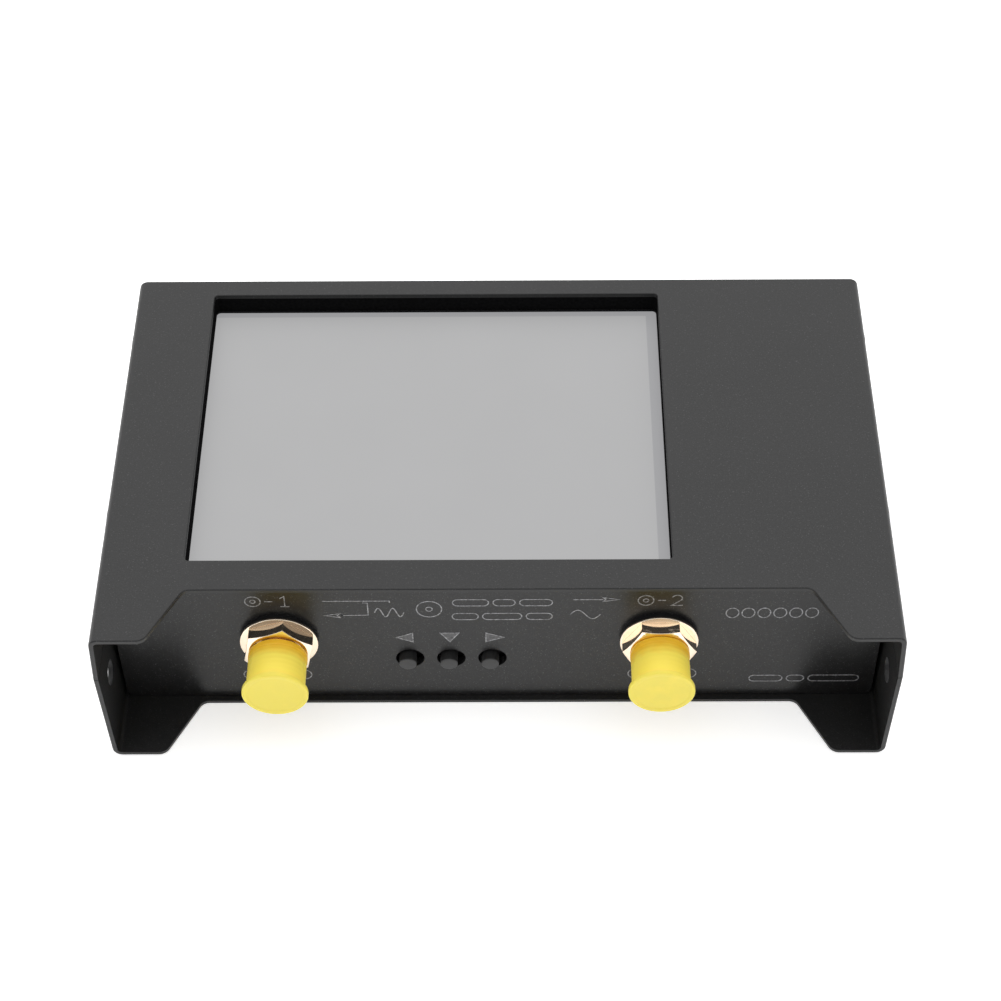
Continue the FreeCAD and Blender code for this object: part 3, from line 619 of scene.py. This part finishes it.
@dataclass(frozen=True)
class CapFinish(Finish):
    """Translucent soft plastic with painted light in its colour: golden at its mouth, a painted
    show-through of the gold under it, and brighter along the sleeve than at its end, a painted lift against
    the shade that falls on the sleeve.

    The place along the cap runs from 0 at end_y to 1 at mouth_y, and is shifted by up to half of
    drift by a noise.  A weak painted emission in the ramp's colours stands in for the light that comes
    through the thin wall.
    """

    # painted show-through: the gold under the mouth, put into the plastic's colour
    mouth_gold_show_through: Colour = (0.84, 0.48, 0.03)
    end_colour: Colour = (0.78, 0.66, 0.11)
    end_y: float = -30.4 * MM
    mouth_y: float = -24.4 * MM
    drift: float = 0.12
    # painted light: weak emission that stands in for light through the thin wall
    painted_glow: float = 0.13

    def make(self) -> bpy.types.Material:
        """Build the node tree: a colour ramp along Y.

        Returns:
            The new material.
        """
        sheet = NodeSheet(self.name)
        self.set_constants(sheet)
        axes = sheet.add("ShaderNodeSeparateXYZ")
        sheet.join(sheet.place, "Object", axes, "Vector")
        length = self.mouth_y - self.end_y
        along = sheet.spread(axes, "Y", 0.0, 1.0, self.end_y + length / 2, length)
        shift = sheet.spread(sheet.noise(self.mottle_size), "Fac", -self.drift / 2, self.drift / 2)
        place = sheet.add("ShaderNodeMath", operation="ADD")
        sheet.join(along, "Result", place, 0)
        sheet.join(shift, "Result", place, 1)
        # painted light: the sleeve's colour sits above the end's against the shade on the sleeve, and turns
        # golden at the mouth as a painted show-through of the gold
        tint = sheet.ramp(place, "Value", [(0.03, self.end_colour), (0.25, self.colour),
                                           (0.62, self.colour), (0.88, self.mouth_gold_show_through)])
        sheet.join(tint, "Color", sheet.shader, "Base Color")
        # painted light: the cap emits its ramp's colours
        sheet.join(tint, "Color", sheet.shader, "Emission Color")
        sheet.shader.inputs["Emission Strength"].default_value = self.painted_glow
        self.wear(sheet, sheet.noise(self.mottle_size * 0.4))
        sheet.bump([(sheet.noise(self.grain_size), "Fac", self.grain_height)])
        return sheet.material


@dataclass(frozen=True)
class BoardFinish(Finish):
    """Solder mask with pale pads where small cells of a pattern are near their centres."""

    pad_colour: Colour = (0.62, 0.50, 0.22)
    pad_pitch: float = 1.3 * MM

    def make(self) -> bpy.types.Material:
        """Build the node tree.

        Returns:
            The new material.
        """
        sheet = NodeSheet(self.name)
        self.set_constants(sheet)
        cells = sheet.add("ShaderNodeTexVoronoi", {"Scale": 1.0 / self.pad_pitch, "Randomness": 0.35})
        sheet.join(sheet.place, "Object", cells, "Vector")
        pads = sheet.spread(cells, "Distance", 1.0, 0.0, 0.16, 0.04)
        traces = sheet.add("ShaderNodeTexBrick", {"Scale": 240.0, "Mortar Size": 0.012})
        sheet.join(sheet.place, "Object", traces, "Vector")
        traces.inputs["Color1"].default_value = (*self.colour, 1.0)
        traces.inputs["Color2"].default_value = (*scaled(self.colour, 0.8), 1.0)
        traces.inputs["Mortar"].default_value = (*scaled(self.colour, 1.7), 1.0)
        mix = sheet.add("ShaderNodeMix", data_type="RGBA")
        mix.inputs["B"].default_value = (*self.pad_colour, 1.0)
        sheet.join(pads, "Result", mix, "Factor")
        sheet.join(traces, "Color", mix, "A")
        sheet.join(mix, "Result", sheet.shader, "Base Color")
        sheet.join(sheet.spread(pads, "Result", self.roughness, 0.3), "Result", sheet.shader, "Roughness")
        sheet.bump([(pads, "Result", 0.02 * MM)])
        return sheet.material


class Finishes(Enum):
    """Every finish of the instrument."""

    CASE = PowderCoat("case_powder_coat", (0.0115, 0.0115, 0.0118), 0.46, mottle=0.06, mottle_size=9 * MM,
                      unevenness=0.08, grain_height=0.013 * MM, grain_size=0.2 * MM,
                      speck_colour=(0.05, 0.05, 0.05), constants=(("Specular IOR Level", 0.43),))
    PANEL = PowderCoat("panel_enamel", (0.012, 0.012, 0.0122), 0.34, mottle=0.08, mottle_size=6 * MM,
                       unevenness=0.04, grain_height=0.0022 * MM, grain_size=0.3 * MM,
                       peel_height=0.003 * MM, speck_colour=(0.09, 0.09, 0.09),
                       constants=(("Specular IOR Level", 0.34),))
    # painted highlight: pale grey for light caught by the edges of the engraved grooves
    ENGRAVING_HIGHLIGHT = Finish("engraved_edge_highlight", (0.24, 0.24, 0.25), 0.45, mottle=0.8, mottle_size=0.35 * MM)
    ENGRAVED_FLOOR = Finish("engraved_floor", (0.085, 0.085, 0.087), 0.5, mottle=0.5, mottle_size=0.35 * MM)
    GOLD = Finish("gold_plate", (1.0, 0.83, 0.66), 0.10, metallic=1.0, mottle=0.04, mottle_size=1.5 * MM,
                  unevenness=0.04, grain_height=0.0006 * MM, grain_size=0.18 * MM)
    THREAD_GOLD = Finish("thread_gold", (0.93, 0.67, 0.36), 0.26, metallic=1.0, mottle=0.08,
                         mottle_size=0.8 * MM)
    # the sleeve colour is set brighter than the end colour as painted light against the shade on the sleeve
    CAP = CapFinish("cap_plastic", (0.94, 0.74, 0.11), 0.36, mottle_size=2.5 * MM,
                    grain_height=0.0015 * MM, grain_size=0.5 * MM,
                    constants=(("Subsurface Weight", 0.35), ("Subsurface Scale", 0.8 * MM),
                               ("Subsurface Radius", (1.0, 0.9, 0.4)), ("Specular IOR Level", 0.2)))
    PLUNGER = Finish("button_plastic", (0.021, 0.021, 0.0215), 0.42, mottle=0.1, mottle_size=0.6 * MM)
    BLACK_PLASTIC = Finish("black_plastic", (0.022, 0.022, 0.023), 0.5, grain_height=0.006 * MM)
    CHIP = Finish("chip_epoxy", (0.03, 0.03, 0.031), 0.6, grain_height=0.01 * MM, grain_size=0.12 * MM)
    FOAM = Finish("gasket_foam", (0.008, 0.008, 0.0083), 0.94, mottle=0.3, mottle_size=0.4 * MM,
                  grain_height=0.02 * MM, grain_size=0.2 * MM, constants=(("Specular IOR Level", 0.0),))
    # near-black ring behind each washer: it gives the dark band round the washer on the panel
    NEAR_BLACK_RING = Finish("seal_rubber", (0.008, 0.008, 0.0085), 0.45, mottle=0.15, mottle_size=0.6 * MM)
    STEEL = Finish("tinned_steel", (0.62, 0.62, 0.61), 0.28, metallic=1.0, mottle=0.05)
    BLACK_STEEL = Finish("black_oxide", (0.035, 0.035, 0.037), 0.36, metallic=0.6, mottle=0.15,
                         mottle_size=0.8 * MM)
    ALUMINIUM = Finish("machined_aluminium", (0.78, 0.78, 0.79), 0.32, metallic=1.0, mottle=0.04)
    PTFE = Finish("insulator_white", (0.86, 0.86, 0.82), 0.5, mottle=0.02)
    NYLON = Finish("natural_nylon", (0.80, 0.78, 0.70), 0.45, mottle=0.03)
    GLASS = Finish("touch_glass", (0.012, 0.012, 0.013), 0.12, mottle=0.05, grain_height=0.0002 * MM,
                   constants=(("Specular IOR Level", 0.3),))
    LCD = Finish("polariser", (0.03, 0.032, 0.036), 0.2, mottle=0.05)
    LIGHT_GUIDE = Finish("clear_acrylic", (0.82, 0.84, 0.84), 0.18, mottle=0.02,
                         constants=(("Transmission Weight", 0.5), ("IOR", 1.49)))
    RIBBON = Finish("polyimide_ribbon", (0.40, 0.19, 0.045), 0.3, mottle=0.12, mottle_size=1.5 * MM)
    BOARD = BoardFinish("solder_mask", (0.012, 0.075, 0.035), 0.35)
    CELL = Finish("foil_pouch", (0.62, 0.62, 0.64), 0.35, metallic=0.8, mottle=0.05,
                  grain_height=0.05 * MM, grain_size=2.5 * MM)
    WIRE = Finish("silicone_red", (0.45, 0.02, 0.02), 0.4, mottle=0.05)

    def dress(self, *pieces: bpy.types.Object) -> None:
        """Give this finish to pieces.

        Args:
            pieces: the pieces.
        """
        self.value.dress(*pieces)

    def dress_nodes(self, *names: str) -> None:
        """Give this finish to CAD nodes.

        Args:
            names: the nodes' names.
        """
        self.dress(*[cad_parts[name] for name in names])


def keep(piece: bpy.types.Object, body: str, slot: str, *replaced: str) -> bpy.types.Object:
    """Attach a new piece to the CAD body that it rides on, and hide the CAD nodes that it stands for.

    Args:
        piece: the piece.
        body: the CAD body that it moves with.
        slot: not used.
        replaced: the CAD nodes that it stands for.

    Returns:
        The piece.
    """
    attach(piece, body)
    if replaced:
        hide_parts(*replaced)
    LOG.info("%s rides on %s", piece.name, body)
    return piece


def soften(piece: bpy.types.Object, width: float, segments: int = 2) -> None:
    """Round a piece's sharp edges with a bevel.

    Args:
        piece: the piece.
        width: the bevel's width.
        segments: divisions across it.
    """
    bevel = piece.modifiers.new("edge_break", "BEVEL")
    bevel.width = width
    bevel.segments = segments
    bevel.limit_method = "ANGLE"
    bevel.angle_limit = math.radians(25.0)
    bevel.harden_normals = True


# --------------------------------------------------------------------------- sub-assemblies


@dataclass
class Case:
    """The two folded sheets with what joins them, and the end panels."""

    def build(self) -> None:
        """Dress the case's nodes."""
        Finishes.CASE.dress_nodes("top_cover", "bottom_cover")
        Finishes.PANEL.dress_nodes("front_panel", "rear_panel")
        brackets = [f"side_bracket_{side}_{end}" for side in ("left", "right") for end in ("front", "rear")]
        Finishes.STEEL.dress_nodes(*brackets)
        Finishes.BLACK_STEEL.dress_nodes("cover_screws", "rear_panel_screws")
        Finishes.ALUMINIUM.dress_nodes("rear_blocks")
        LOG.info("case dressed")


@dataclass
class Port:
    """One coaxial port: washer, nut, jack and dust cap."""

    side: str
    nut_turn: float
    rib_pitch: float = 0.7 * MM
    rib_height: float = 0.014 * MM
    lip_thick: float = 0.8 * MM
    lip_reach: float = 0.46 * MM
    wall: float = 0.37 * MM
    dish: float = 0.06 * MM
    washer_bore: float = 3.25 * MM
    washer_edge: float = 0.1 * MM
    nut_flat: float = 4.0 * MM
    nut_bore: float = 3.22 * MM
    nut_face_inset: float = 0.08 * MM
    nut_slope: float = 22.0
    nut_cells_per_side: int = 24

    def build(self) -> None:
        """Build the pieces that show, and dress the rest."""
        self.low, self.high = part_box(f"dust_cap_{self.side}")
        self.cap_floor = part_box(f"port_jack_{self.side}")[0].y - 0.1 * MM
        self.x = (self.low.x + self.high.x) / 2
        self.z = (self.low.z + self.high.z) / 2
        self.build_cap()
        self.build_washer()
        self.build_nut()
        Finishes.THREAD_GOLD.dress_nodes(f"port_jack_{self.side}")
        Finishes.GOLD.dress_nodes(f"port_contact_{self.side}")
        Finishes.PTFE.dress_nodes(f"port_insulator_{self.side}")
        # near-black ring behind the washer, which makes the dark band round it
        Finishes.NEAR_BLACK_RING.dress_nodes(f"seal_ring_{self.side}")

    def build_cap(self) -> None:
        """Dust cap: ribbed sleeve, mouth bead, bevelled lip and a slightly dished end.

        The sleeve follows the thread under it: its radius falls by rib_height (1 - cos p), where p
        is the turn of the distance along it over rib_pitch, and the ribs fade evenly towards the lip.
        """
        front, mouth = self.low.y, self.high.y
        lip_radius = (self.high.x - self.low.x) / 2
        sleeve = lip_radius - self.lip_reach
        bore = sleeve - self.wall
        start = front + self.lip_thick + 0.12 * MM
        end = mouth - 0.75 * MM
        y = np.linspace(start, end, 72)
        phase = (y - start) / self.rib_pitch * 2 * math.pi
        fade = (y - start) / (end - start)
        ribs = np.stack([sleeve - self.rib_height * fade * (1.0 - np.cos(phase)), y], 1)
        head = rounded_profile([
            (0.0, front + self.dish, 0), (lip_radius - 0.75 * MM, front + self.dish, 0.2 * MM),
            (lip_radius - 0.5 * MM, front, 0.1 * MM), (lip_radius - 0.1 * MM, front, 0.05 * MM),
            (lip_radius, front + 0.12 * MM, 0.05 * MM),
            (lip_radius, front + self.lip_thick - 0.25 * MM, 0.06 * MM),
            (sleeve - 0.02 * MM, front + self.lip_thick, 0.1 * MM), (sleeve, start, 0)], 5)
        tail = rounded_profile([
            (sleeve, end, 0), (sleeve + 0.06 * MM, end + 0.1 * MM, 0.05 * MM),
            (sleeve + 0.06 * MM, mouth - 0.06 * MM, 0.1 * MM), (sleeve - 0.1 * MM, mouth, 0.06 * MM),
            (bore, mouth, 0.08 * MM), (bore, self.cap_floor, 0.2 * MM), (0.0, self.cap_floor, 0)], 4)
        profile = np.concatenate([head[:-1], ribs, tail[1:]])
        cap = turned(f"cap_{self.side}", profile, self.x, self.z, 144, None)
        Finishes.CAP.dress(cap)
        keep(cap, f"{self.side}_cap", "cap_plastic", f"dust_cap_{self.side}")

    def build_washer(self) -> None:
        """Round flange washer with a rolled outer edge."""
        low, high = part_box(f"flange_washer_{self.side}")
        radius = (high.x - low.x) / 2
        bore = self.washer_bore
        profile = rounded_profile([
            (bore, low.y, 0.05 * MM), (radius, low.y, self.washer_edge), (radius, high.y, 0.05 * MM),
            (bore, high.y, 0.05 * MM)], 6, True)
        washer = turned(f"washer_{self.side}", profile, self.x, self.z, 144)
        Finishes.GOLD.dress(washer)
        keep(washer, "case", "gold_plate", f"flange_washer_{self.side}")

    def build_nut(self) -> None:
        """Hexagon nut with a turned face.

        At the angle t the outside is at r(t) = flat / cos(t - nearest flat's angle). The front is
        flat out to the turned circle, then a cone that falls by tan(nut_slope) per unit of radius
        out to r(t), so each flat meets it in an arc.
        """
        low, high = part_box(f"port_nut_{self.side}")
        flat, bore = self.nut_flat, self.nut_bore
        face = flat - self.nut_face_inset
        slope = math.tan(math.radians(self.nut_slope))
        cells = 6 * self.nut_cells_per_side
        t = np.arange(cells) * (2 * math.pi / cells) + math.radians(self.nut_turn)
        from_flat = (np.degrees(t - math.radians(self.nut_turn)) % 60.0) - 30.0
        outer = flat / np.cos(np.radians(from_flat))
        fall = (outer - face) * slope
        one = np.ones_like(t)
        rows = [
            (bore * one, (low.y + 0.3 * MM) * one), ((bore + 0.3 * MM) * one, low.y * one),
            ((bore + face) / 2 * one, low.y * one), (face * one, low.y * one),
            (face + (outer - face) * 0.5, low.y + fall * 0.5),
            (outer, low.y + fall), (outer, low.y + fall + 0.35 * (high.y - low.y - fall)),
            (outer, high.y * one), ((bore + 0.1 * MM) * one, high.y * one),
            (bore * one, (high.y - 0.1 * MM) * one)]
        radius = np.stack([r for r, _ in rows])
        y = np.stack([d for _, d in rows])
        grid = np.stack([self.x + radius * np.cos(t), y, self.z + radius * np.sin(t)], 2)
        mesh = mesh_from(f"nut_{self.side}", grid, grid_faces(len(rows), len(t), True, True))
        shade(mesh, 24.0)
        nut = add_object(f"nut_{self.side}", mesh)
        soften(nut, 0.045 * MM)
        Finishes.GOLD.dress(nut)
        keep(nut, "case", "gold_plate", f"port_nut_{self.side}")


@dataclass
class ButtonRow:
    """The three push buttons and their switches under the board."""

    names: tuple[str, ...] = ("left", "centre", "right")
    stem: float = 1.1 * MM
    edge: float = 0.09 * MM
    crown: float = 0.05 * MM
    collar_place: float = 3.75 * MM
    collar_thick: float = 0.7 * MM
    tail: float = 0.8 * MM

    def build(self) -> None:
        """Build the plungers and dress the switches."""
        for name in self.names:
            self.build_plunger(name)
        Finishes.BLACK_PLASTIC.dress_nodes(*[f"tact_switch_{name}" for name in self.names])
        Finishes.STEEL.dress_nodes("switch_domes")

    def build_plunger(self, name: str) -> None:
        """One plunger: rounded and slightly crowned end, stem, collar and tail.

        Args:
            name: which button it is.
        """
        low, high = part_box(f"button_{name}")
        x = (low.x + high.x) / 2
        z = (low.z + high.z) / 2
        stem = self.stem
        collar = (high.x - low.x) / 2
        collar_front = low.y + self.collar_place
        collar_rear = collar_front + self.collar_thick
        profile = rounded_profile([
            (0.0, low.y, 0), (stem - self.edge, low.y + self.crown, 0.3 * MM),
            (stem, low.y + self.crown + self.edge, 0.12 * MM), (stem, collar_front, 0),
            (collar, collar_front, 0.05 * MM), (collar, collar_rear, 0.05 * MM),
            (self.tail, collar_rear, 0), (self.tail, high.y, 0.1 * MM), (0.0, high.y, 0)], 4)
        plunger = turned(f"plunger_{name}", profile, x, z, 64)
        Finishes.PLUNGER.dress(plunger)
        keep(plunger, f"{name}_button", "black_plastic", f"button_{name}")


@dataclass
class PanelMarks:
    """Engraved marks on the front panel, as thin outlines in a pale grey: a painted highlight where light
    catches the grooves' edges. All of them are plain symbols.
    """

    line: float = 0.14 * MM
    depth: float = 0.02 * MM
    overlap: float = 0.01 * MM
    body: str = "case"
    paths: list[tuple[Points, bool]] = field(default_factory=list)
    fills: list[Points] = field(default_factory=list)

    def build(self) -> None:
        """Collect the strokes and the filled shapes, and make one piece of each."""
        self.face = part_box("front_panel")[0].y
        self.port_tags()
        self.signal_marks()
        self.button_marks()
        self.caption_bars()
        # the outlines' pale grey is a painted highlight of the grooves' edges
        outlines = self.stroke_piece("panel_engraving_highlights")
        Finishes.ENGRAVING_HIGHLIGHT.dress(outlines)
        keep(outlines, self.body, "panel_paint")
        floors = self.fill_piece("panel_engraved_floors")
        Finishes.ENGRAVED_FLOOR.dress(floors)
        keep(floors, self.body, "panel_paint")

    def trace(self, *points: tuple[float, float], closed: bool = False) -> None:
        """Add a stroke.

        Args:
            points: its (x, z) points on the panel, in millimetres.
            closed: whether it comes back to its start.
        """
        self.paths.append((np.array(points) * MM, closed))

    def outline(self, path: Points) -> None:
        """Add a closed stroke.

        Args:
            path: its (x, z) points on the panel, in metres.
        """
        self.paths.append((path, True))

    def port_tags(self) -> None:
        """A coaxial symbol and the port's number above each port, and a frame below it."""
        for x, number in ((-28.0, 1), (20.0, 2)):
            self.outline(ellipse(((x - 1.9) * MM, 20.25 * MM), 0.95 * MM, 0.95 * MM))
            self.outline(ellipse(((x - 1.9) * MM, 20.25 * MM), 0.32 * MM, 0.32 * MM, 20))
            self.trace((x - 0.45, 20.25), (x + 0.55, 20.25))
            self.numeral(number, x + 1.9)
            self.outline(capsule(((x + (0.0 if number == 1 else 0.7)) * MM, 5.2 * MM), 8.6 * MM, 1.9 * MM))

    def numeral(self, number: int, x: float) -> None:
        """A number, 2 mm tall.

        Args:
            number: 1 or 2.
            x: its middle, in millimetres.
        """
        if number == 1:
            self.trace((x - 0.45, 20.85), (x + 0.1, 21.25), (x + 0.1, 19.25))
            self.trace((x - 0.45, 19.25), (x + 0.65, 19.25))
            return
        t = np.radians(np.linspace(165.0, -35.0, 14))
        bow = np.stack([x + 0.62 * np.cos(t), 20.65 + 0.6 * np.sin(t)], 1)
        foot = np.array([[x - 0.65, 19.25], [x + 0.72, 19.25]])
        self.paths.append((np.concatenate([bow, foot]) * MM, False))

    def arrow(self, tail: tuple[float, float], tip: tuple[float, float], head: float = 1.9) -> None:
        """A shaft with a slim hollow head.

        Args:
            tail: the shaft's free end, in millimetres.
            tip: the head's point.
            head: the head's length.
        """
        way = math.copysign(1.0, tip[0] - tail[0])
        neck = (tip[0] - way * head, tip[1])
        self.trace(tail, neck)
        self.trace(tip, (neck[0], tip[1] + 0.38), (neck[0] + way * 0.3, tip[1]), (neck[0], tip[1] - 0.38),
                   closed=True)

    def wave(self, x0: float, x1: float, z: float, height: float, turns: float) -> None:
        """A sine along X: z + height/2 sin(2 pi turns s), for s from 0 to 1.

        Args:
            x0: where it starts, in millimetres.
            x1: where it ends.
            z: its middle height.
            height: its whole height.
            turns: number of whole waves.
        """
        s = np.linspace(0.0, 1.0, 48)
        height_along = z + height / 2 * np.sin(2 * math.pi * turns * s)
        self.paths.append((np.stack([x0 + (x1 - x0) * s, height_along], 1) * MM, False))

    def signal_marks(self) -> None:
        """Arrows for the reflected and the transmitted signal, each with a small wave."""
        self.trace((-21.4, 20.3), (-13.2, 20.3), (-13.2, 19.95))
        self.trace((-16.5, 19.95), (-15.9, 19.9), (-15.9, 17.5), (-19.4, 17.45))
        self.arrow((-19.0, 17.45), (-21.3, 17.42))
        self.wave(-15.1, -11.5, 18.0, 1.7, 2)
        self.arrow((9.2, 20.45), (14.8, 20.45))
        self.wave(8.9, 12.6, 17.5, 1.7, 1)
        self.outline(ellipse((-8.4 * MM, 18.65 * MM), 1.55 * MM, 1.55 * MM))
        self.outline(ellipse((-8.4 * MM, 18.65 * MM), 0.4 * MM, 0.4 * MM, 20))

    def button_marks(self) -> None:
        """Left, down and right triangles above the buttons."""
        z = 12.9
        for x, corners in (
                (-11.6, ((-1.0, 0.0), (1.0, 0.9), (1.0, -0.9))),
                (-6.0, ((-1.15, 0.9), (1.15, 0.9), (0.0, -0.9))),
                (-0.4, ((-1.1, 0.9), (-1.1, -0.9), (1.1, 0.0)))):
            path = np.array([(x + a, z + b) for a, b in corners]) * MM
            self.outline(path)
            self.fills.append(path)

    def caption_bars(self) -> None:
        """Plain bars and rings where the panel has its captions."""
        for start, lengths, z in ((-5.5, (4.4, 2.7, 4.0), 19.9), (-5.6, (3.2, 4.8, 3.2), 17.15),
                                  (31.8, (4.2, 2.2, 6.4), 4.1)):
            x = start
            for length in lengths:
                self.outline(capsule(((x + length / 2) * MM, z * MM), length * MM, 1.25 * MM))
                x += length + 0.55
        for k in range(6):
            self.outline(ellipse(((28.8 + 1.95 * k) * MM, 17.7 * MM), 0.78 * MM, 0.95 * MM, 32))

    def stroke_piece(self, name: str) -> bpy.types.Object:
        """All strokes as one mesh: each is a flat ribbon with a thickness, closed all round.

        Args:
            name: the piece's name.

        Returns:
            The piece.
        """
        vertices: list[Points] = []
        faces: list[list[int]] = []
        near, far = self.face - self.depth, self.face + self.overlap
        for path, closed in self.paths:
            left, right = ribbon_outline(path, self.line, closed)
            rows = [(left, near), (right, near), (right, far), (left, far)]
            grid = np.stack([np.stack([edge[:, 0], np.full(len(edge), y), edge[:, 1]], 1)
                             for edge, y in rows])
            offset = sum(len(v) for v in vertices)
            cells = grid_faces(4, len(path), True, closed) + offset
            faces += cells.tolist()
            if not closed:
                last = len(path) - 1
                for column in (0, last):
                    ring = [offset + row * len(path) + column for row in range(4)]
                    faces.append(ring if column else ring[::-1])
            vertices.append(grid.reshape(-1, 3))
        mesh = mesh_from(name, np.concatenate(vertices), faces)
        recalculate(mesh)
        return add_object(name, mesh)

    def fill_piece(self, name: str) -> bpy.types.Object:
        """The filled shapes as one mesh of thin plates, lower than the strokes.

        Args:
            name: the piece's name.

        Returns:
            The piece.
        """
        vertices: list[Points] = []
        faces: list[list[int]] = []
        near, far = self.face - self.depth * 0.4, self.face + self.overlap
        for outline in self.fills:
            count = len(outline)
            offset = sum(len(v) for v in vertices)
            for y in (near, far):
                vertices.append(np.stack([outline[:, 0], np.full(count, y), outline[:, 1]], 1))
            j = np.arange(count)
            after = (j + 1) % count
            faces += (np.stack([j, after, after + count, j + count], 1) + offset).tolist()
            faces += [(j[::-1] + offset).tolist(), (j + count + offset).tolist()]
        mesh = mesh_from(name, np.concatenate(vertices), faces)
        recalculate(mesh)
        return add_object(name, mesh)


def recalculate(mesh: bpy.types.Mesh) -> None:
    """Point the faces of a mesh of several closed shells outwards.

    Args:
        mesh: the mesh.
    """
    work = bmesh.new()
    work.from_mesh(mesh)
    bmesh.ops.recalc_face_normals(work, faces=work.faces)
    work.to_mesh(mesh)
    work.free()


@dataclass
class Display:
    """The display under its frosted film, seen through the window."""

    margin_right: float = 1.42 * MM
    margin_rear: float = 0.85 * MM

    def build(self) -> None:
        """Dress the display's stack."""
        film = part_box("protective_film")
        finish = FilmFinish("frosted_film", (0.084, 0.084, 0.0848), 0.4, mottle=0.01, mottle_size=14 * MM,
                            unevenness=0.03, grain_height=0.0012 * MM, grain_size=0.3 * MM,
                            picture_right=film[1].x - self.margin_right,
                            picture_rear=film[1].y - self.margin_rear,
                            constants=(("Specular IOR Level", 0.25),))
        finish.dress(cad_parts["protective_film"])
        Finishes.FOAM.dress_nodes("display_gasket")
        Finishes.GLASS.dress_nodes("touch_panel")
        Finishes.LCD.dress_nodes("lcd_glass")
        Finishes.LIGHT_GUIDE.dress_nodes("backlight")
        Finishes.STEEL.dress_nodes("lcd_frame")
        Finishes.RIBBON.dress_nodes("display_flex")
        Finishes.BLACK_PLASTIC.dress_nodes("display_connector")
        Finishes.NYLON.dress_nodes("display_spacers")
        LOG.info("display dressed")


@dataclass
class Electronics:
    """Everything on and around the main board, the cell and the rear panel's fittings."""

    dressed: tuple[tuple[Finishes, tuple[str, ...]], ...] = (
        (Finishes.BOARD, ("main_board", "battery_board")),
        (Finishes.STEEL, ("shield_can_left", "shield_can_right", "usb_shell")),
        (Finishes.BLACK_STEEL, ("board_screws",)),
        (Finishes.ALUMINIUM, ("board_standoffs",)),
        (Finishes.CHIP, ("processor_chip", "memory_chip")),
        (Finishes.BLACK_PLASTIC, ("usb_tongue", "power_switch_body", "power_switch_knob")),
        (Finishes.LIGHT_GUIDE, ("status_light_left", "status_light_right")),
        (Finishes.CELL, ("battery_cell",)),
        (Finishes.FOAM, ("battery_pad",)),
        (Finishes.NYLON, ("battery_plug", "battery_header")),
        (Finishes.WIRE, ("battery_lead",)),
    )

    def build(self) -> None:
        """Dress the nodes."""
        for finish, names in self.dressed:
            finish.dress_nodes(*names)
        LOG.info("electronics dressed")


# --------------------------------------------------------------------------- stage


@dataclass
class Studio:
    """Softly lit pale floor under a broad sky that is brightest overhead and behind the instrument.

    The sky's radiance in the direction d is low + (high - low) S(d . axis), where S is the smooth
    step from 0 at start to 1 at end.
    """

    floor_half: float = 30.0
    floor_white: float = 0.95
    floor_glow: float = 0.5
    low: float = 0.28
    high: float = 1.7
    start: float = 0.1
    end: float = 0.9
    lean: float = 0.5

    def build(self) -> None:
        """Make the floor and the sky."""
        half = self.floor_half
        corners = np.array([[-half, -half, 0], [half, -half, 0], [half, half, 0], [-half, half, 0]])
        mesh = bpy.data.meshes.new("floor")
        mesh.from_pydata(corners.tolist(), [], [[0, 1, 2, 3]])
        floor = add_object("floor", mesh)
        sheet = NodeSheet("floor_paper")
        sheet.shader.inputs["Base Color"].default_value = (self.floor_white,) * 3 + (1.0,)
        sheet.shader.inputs["Roughness"].default_value = 0.9
        sheet.shader.inputs["Emission Color"].default_value = (1.0, 1.0, 1.0, 1.0)
        sheet.shader.inputs["Emission Strength"].default_value = self.floor_glow
        mesh.materials.append(sheet.material)
        self.build_sky()
        bpy.context.scene.view_settings.view_transform = "Standard"
        LOG.info("studio ready")

    def build_sky(self) -> None:
        """Make the world's light."""
        world = bpy.data.worlds.new("studio")
        bpy.context.scene.world = world
        world.use_nodes = True
        tree = world.node_tree
        background = tree.nodes["Background"]
        background.inputs["Color"].default_value = (1.0, 1.0, 1.0, 1.0)
        direction = tree.nodes.new("ShaderNodeTexCoord")
        along = tree.nodes.new("ShaderNodeVectorMath")
        along.operation = "DOT_PRODUCT"
        along.inputs[1].default_value = Vector((0.0, self.lean, 1.0)).normalized()
        step = tree.nodes.new("ShaderNodeMapRange")
        step.interpolation_type = "SMOOTHSTEP"
        for key, value in (("From Min", self.start), ("From Max", self.end), ("To Min", self.low),
                           ("To Max", self.high)):
            step.inputs[key].default_value = value
        tree.links.new(direction.outputs["Generated"], along.inputs[0])
        tree.links.new(along.outputs["Value"], step.inputs["Value"])
        tree.links.new(step.outputs["Result"], background.inputs["Strength"])


@dataclass
class Viewpoint:
    """Camera above and in front of the ports."""

    place: tuple[float, float, float] = (0.00255, -0.19483, 0.24304)
    pitch: float = 49.663
    yaw: float = 0.671
    roll: float = 0.722
    lens: float = 83.18
    sensor: float = 36.0

    def build(self) -> None:
        """Make the camera and set it as the scene's."""
        data = bpy.data.cameras.new("camera")
        data.lens = self.lens
        data.sensor_width = self.sensor
        data.clip_start = 0.01
        camera = bpy.data.objects.new("camera", data)
        bpy.context.scene.collection.objects.link(camera)
        upright = Matrix.Rotation(math.radians(90.0 - self.pitch), 3, "X")
        turn = Matrix.Rotation(math.radians(self.yaw), 3, "Z")
        tilt = Matrix.Rotation(math.radians(-self.roll), 3, "Z")
        camera.matrix_world = Matrix.Translation(self.place) @ (turn @ upright @ tilt).to_4x4()
        bpy.context.scene.camera = camera
        LOG.info("camera at %s", self.place)


def main() -> None:
    """Build everything in order."""
    logging.basicConfig(level=logging.INFO, format="%(name)s: %(message)s")
    Viewpoint().build()
    Studio().build()
    Case().build()
    Port("left", 79.3).build()
    Port("right", 0.0).build()
    ButtonRow().build()
    PanelMarks().build()
    Display().build()
    Electronics().build()


if __name__ == "__main__":
    main()
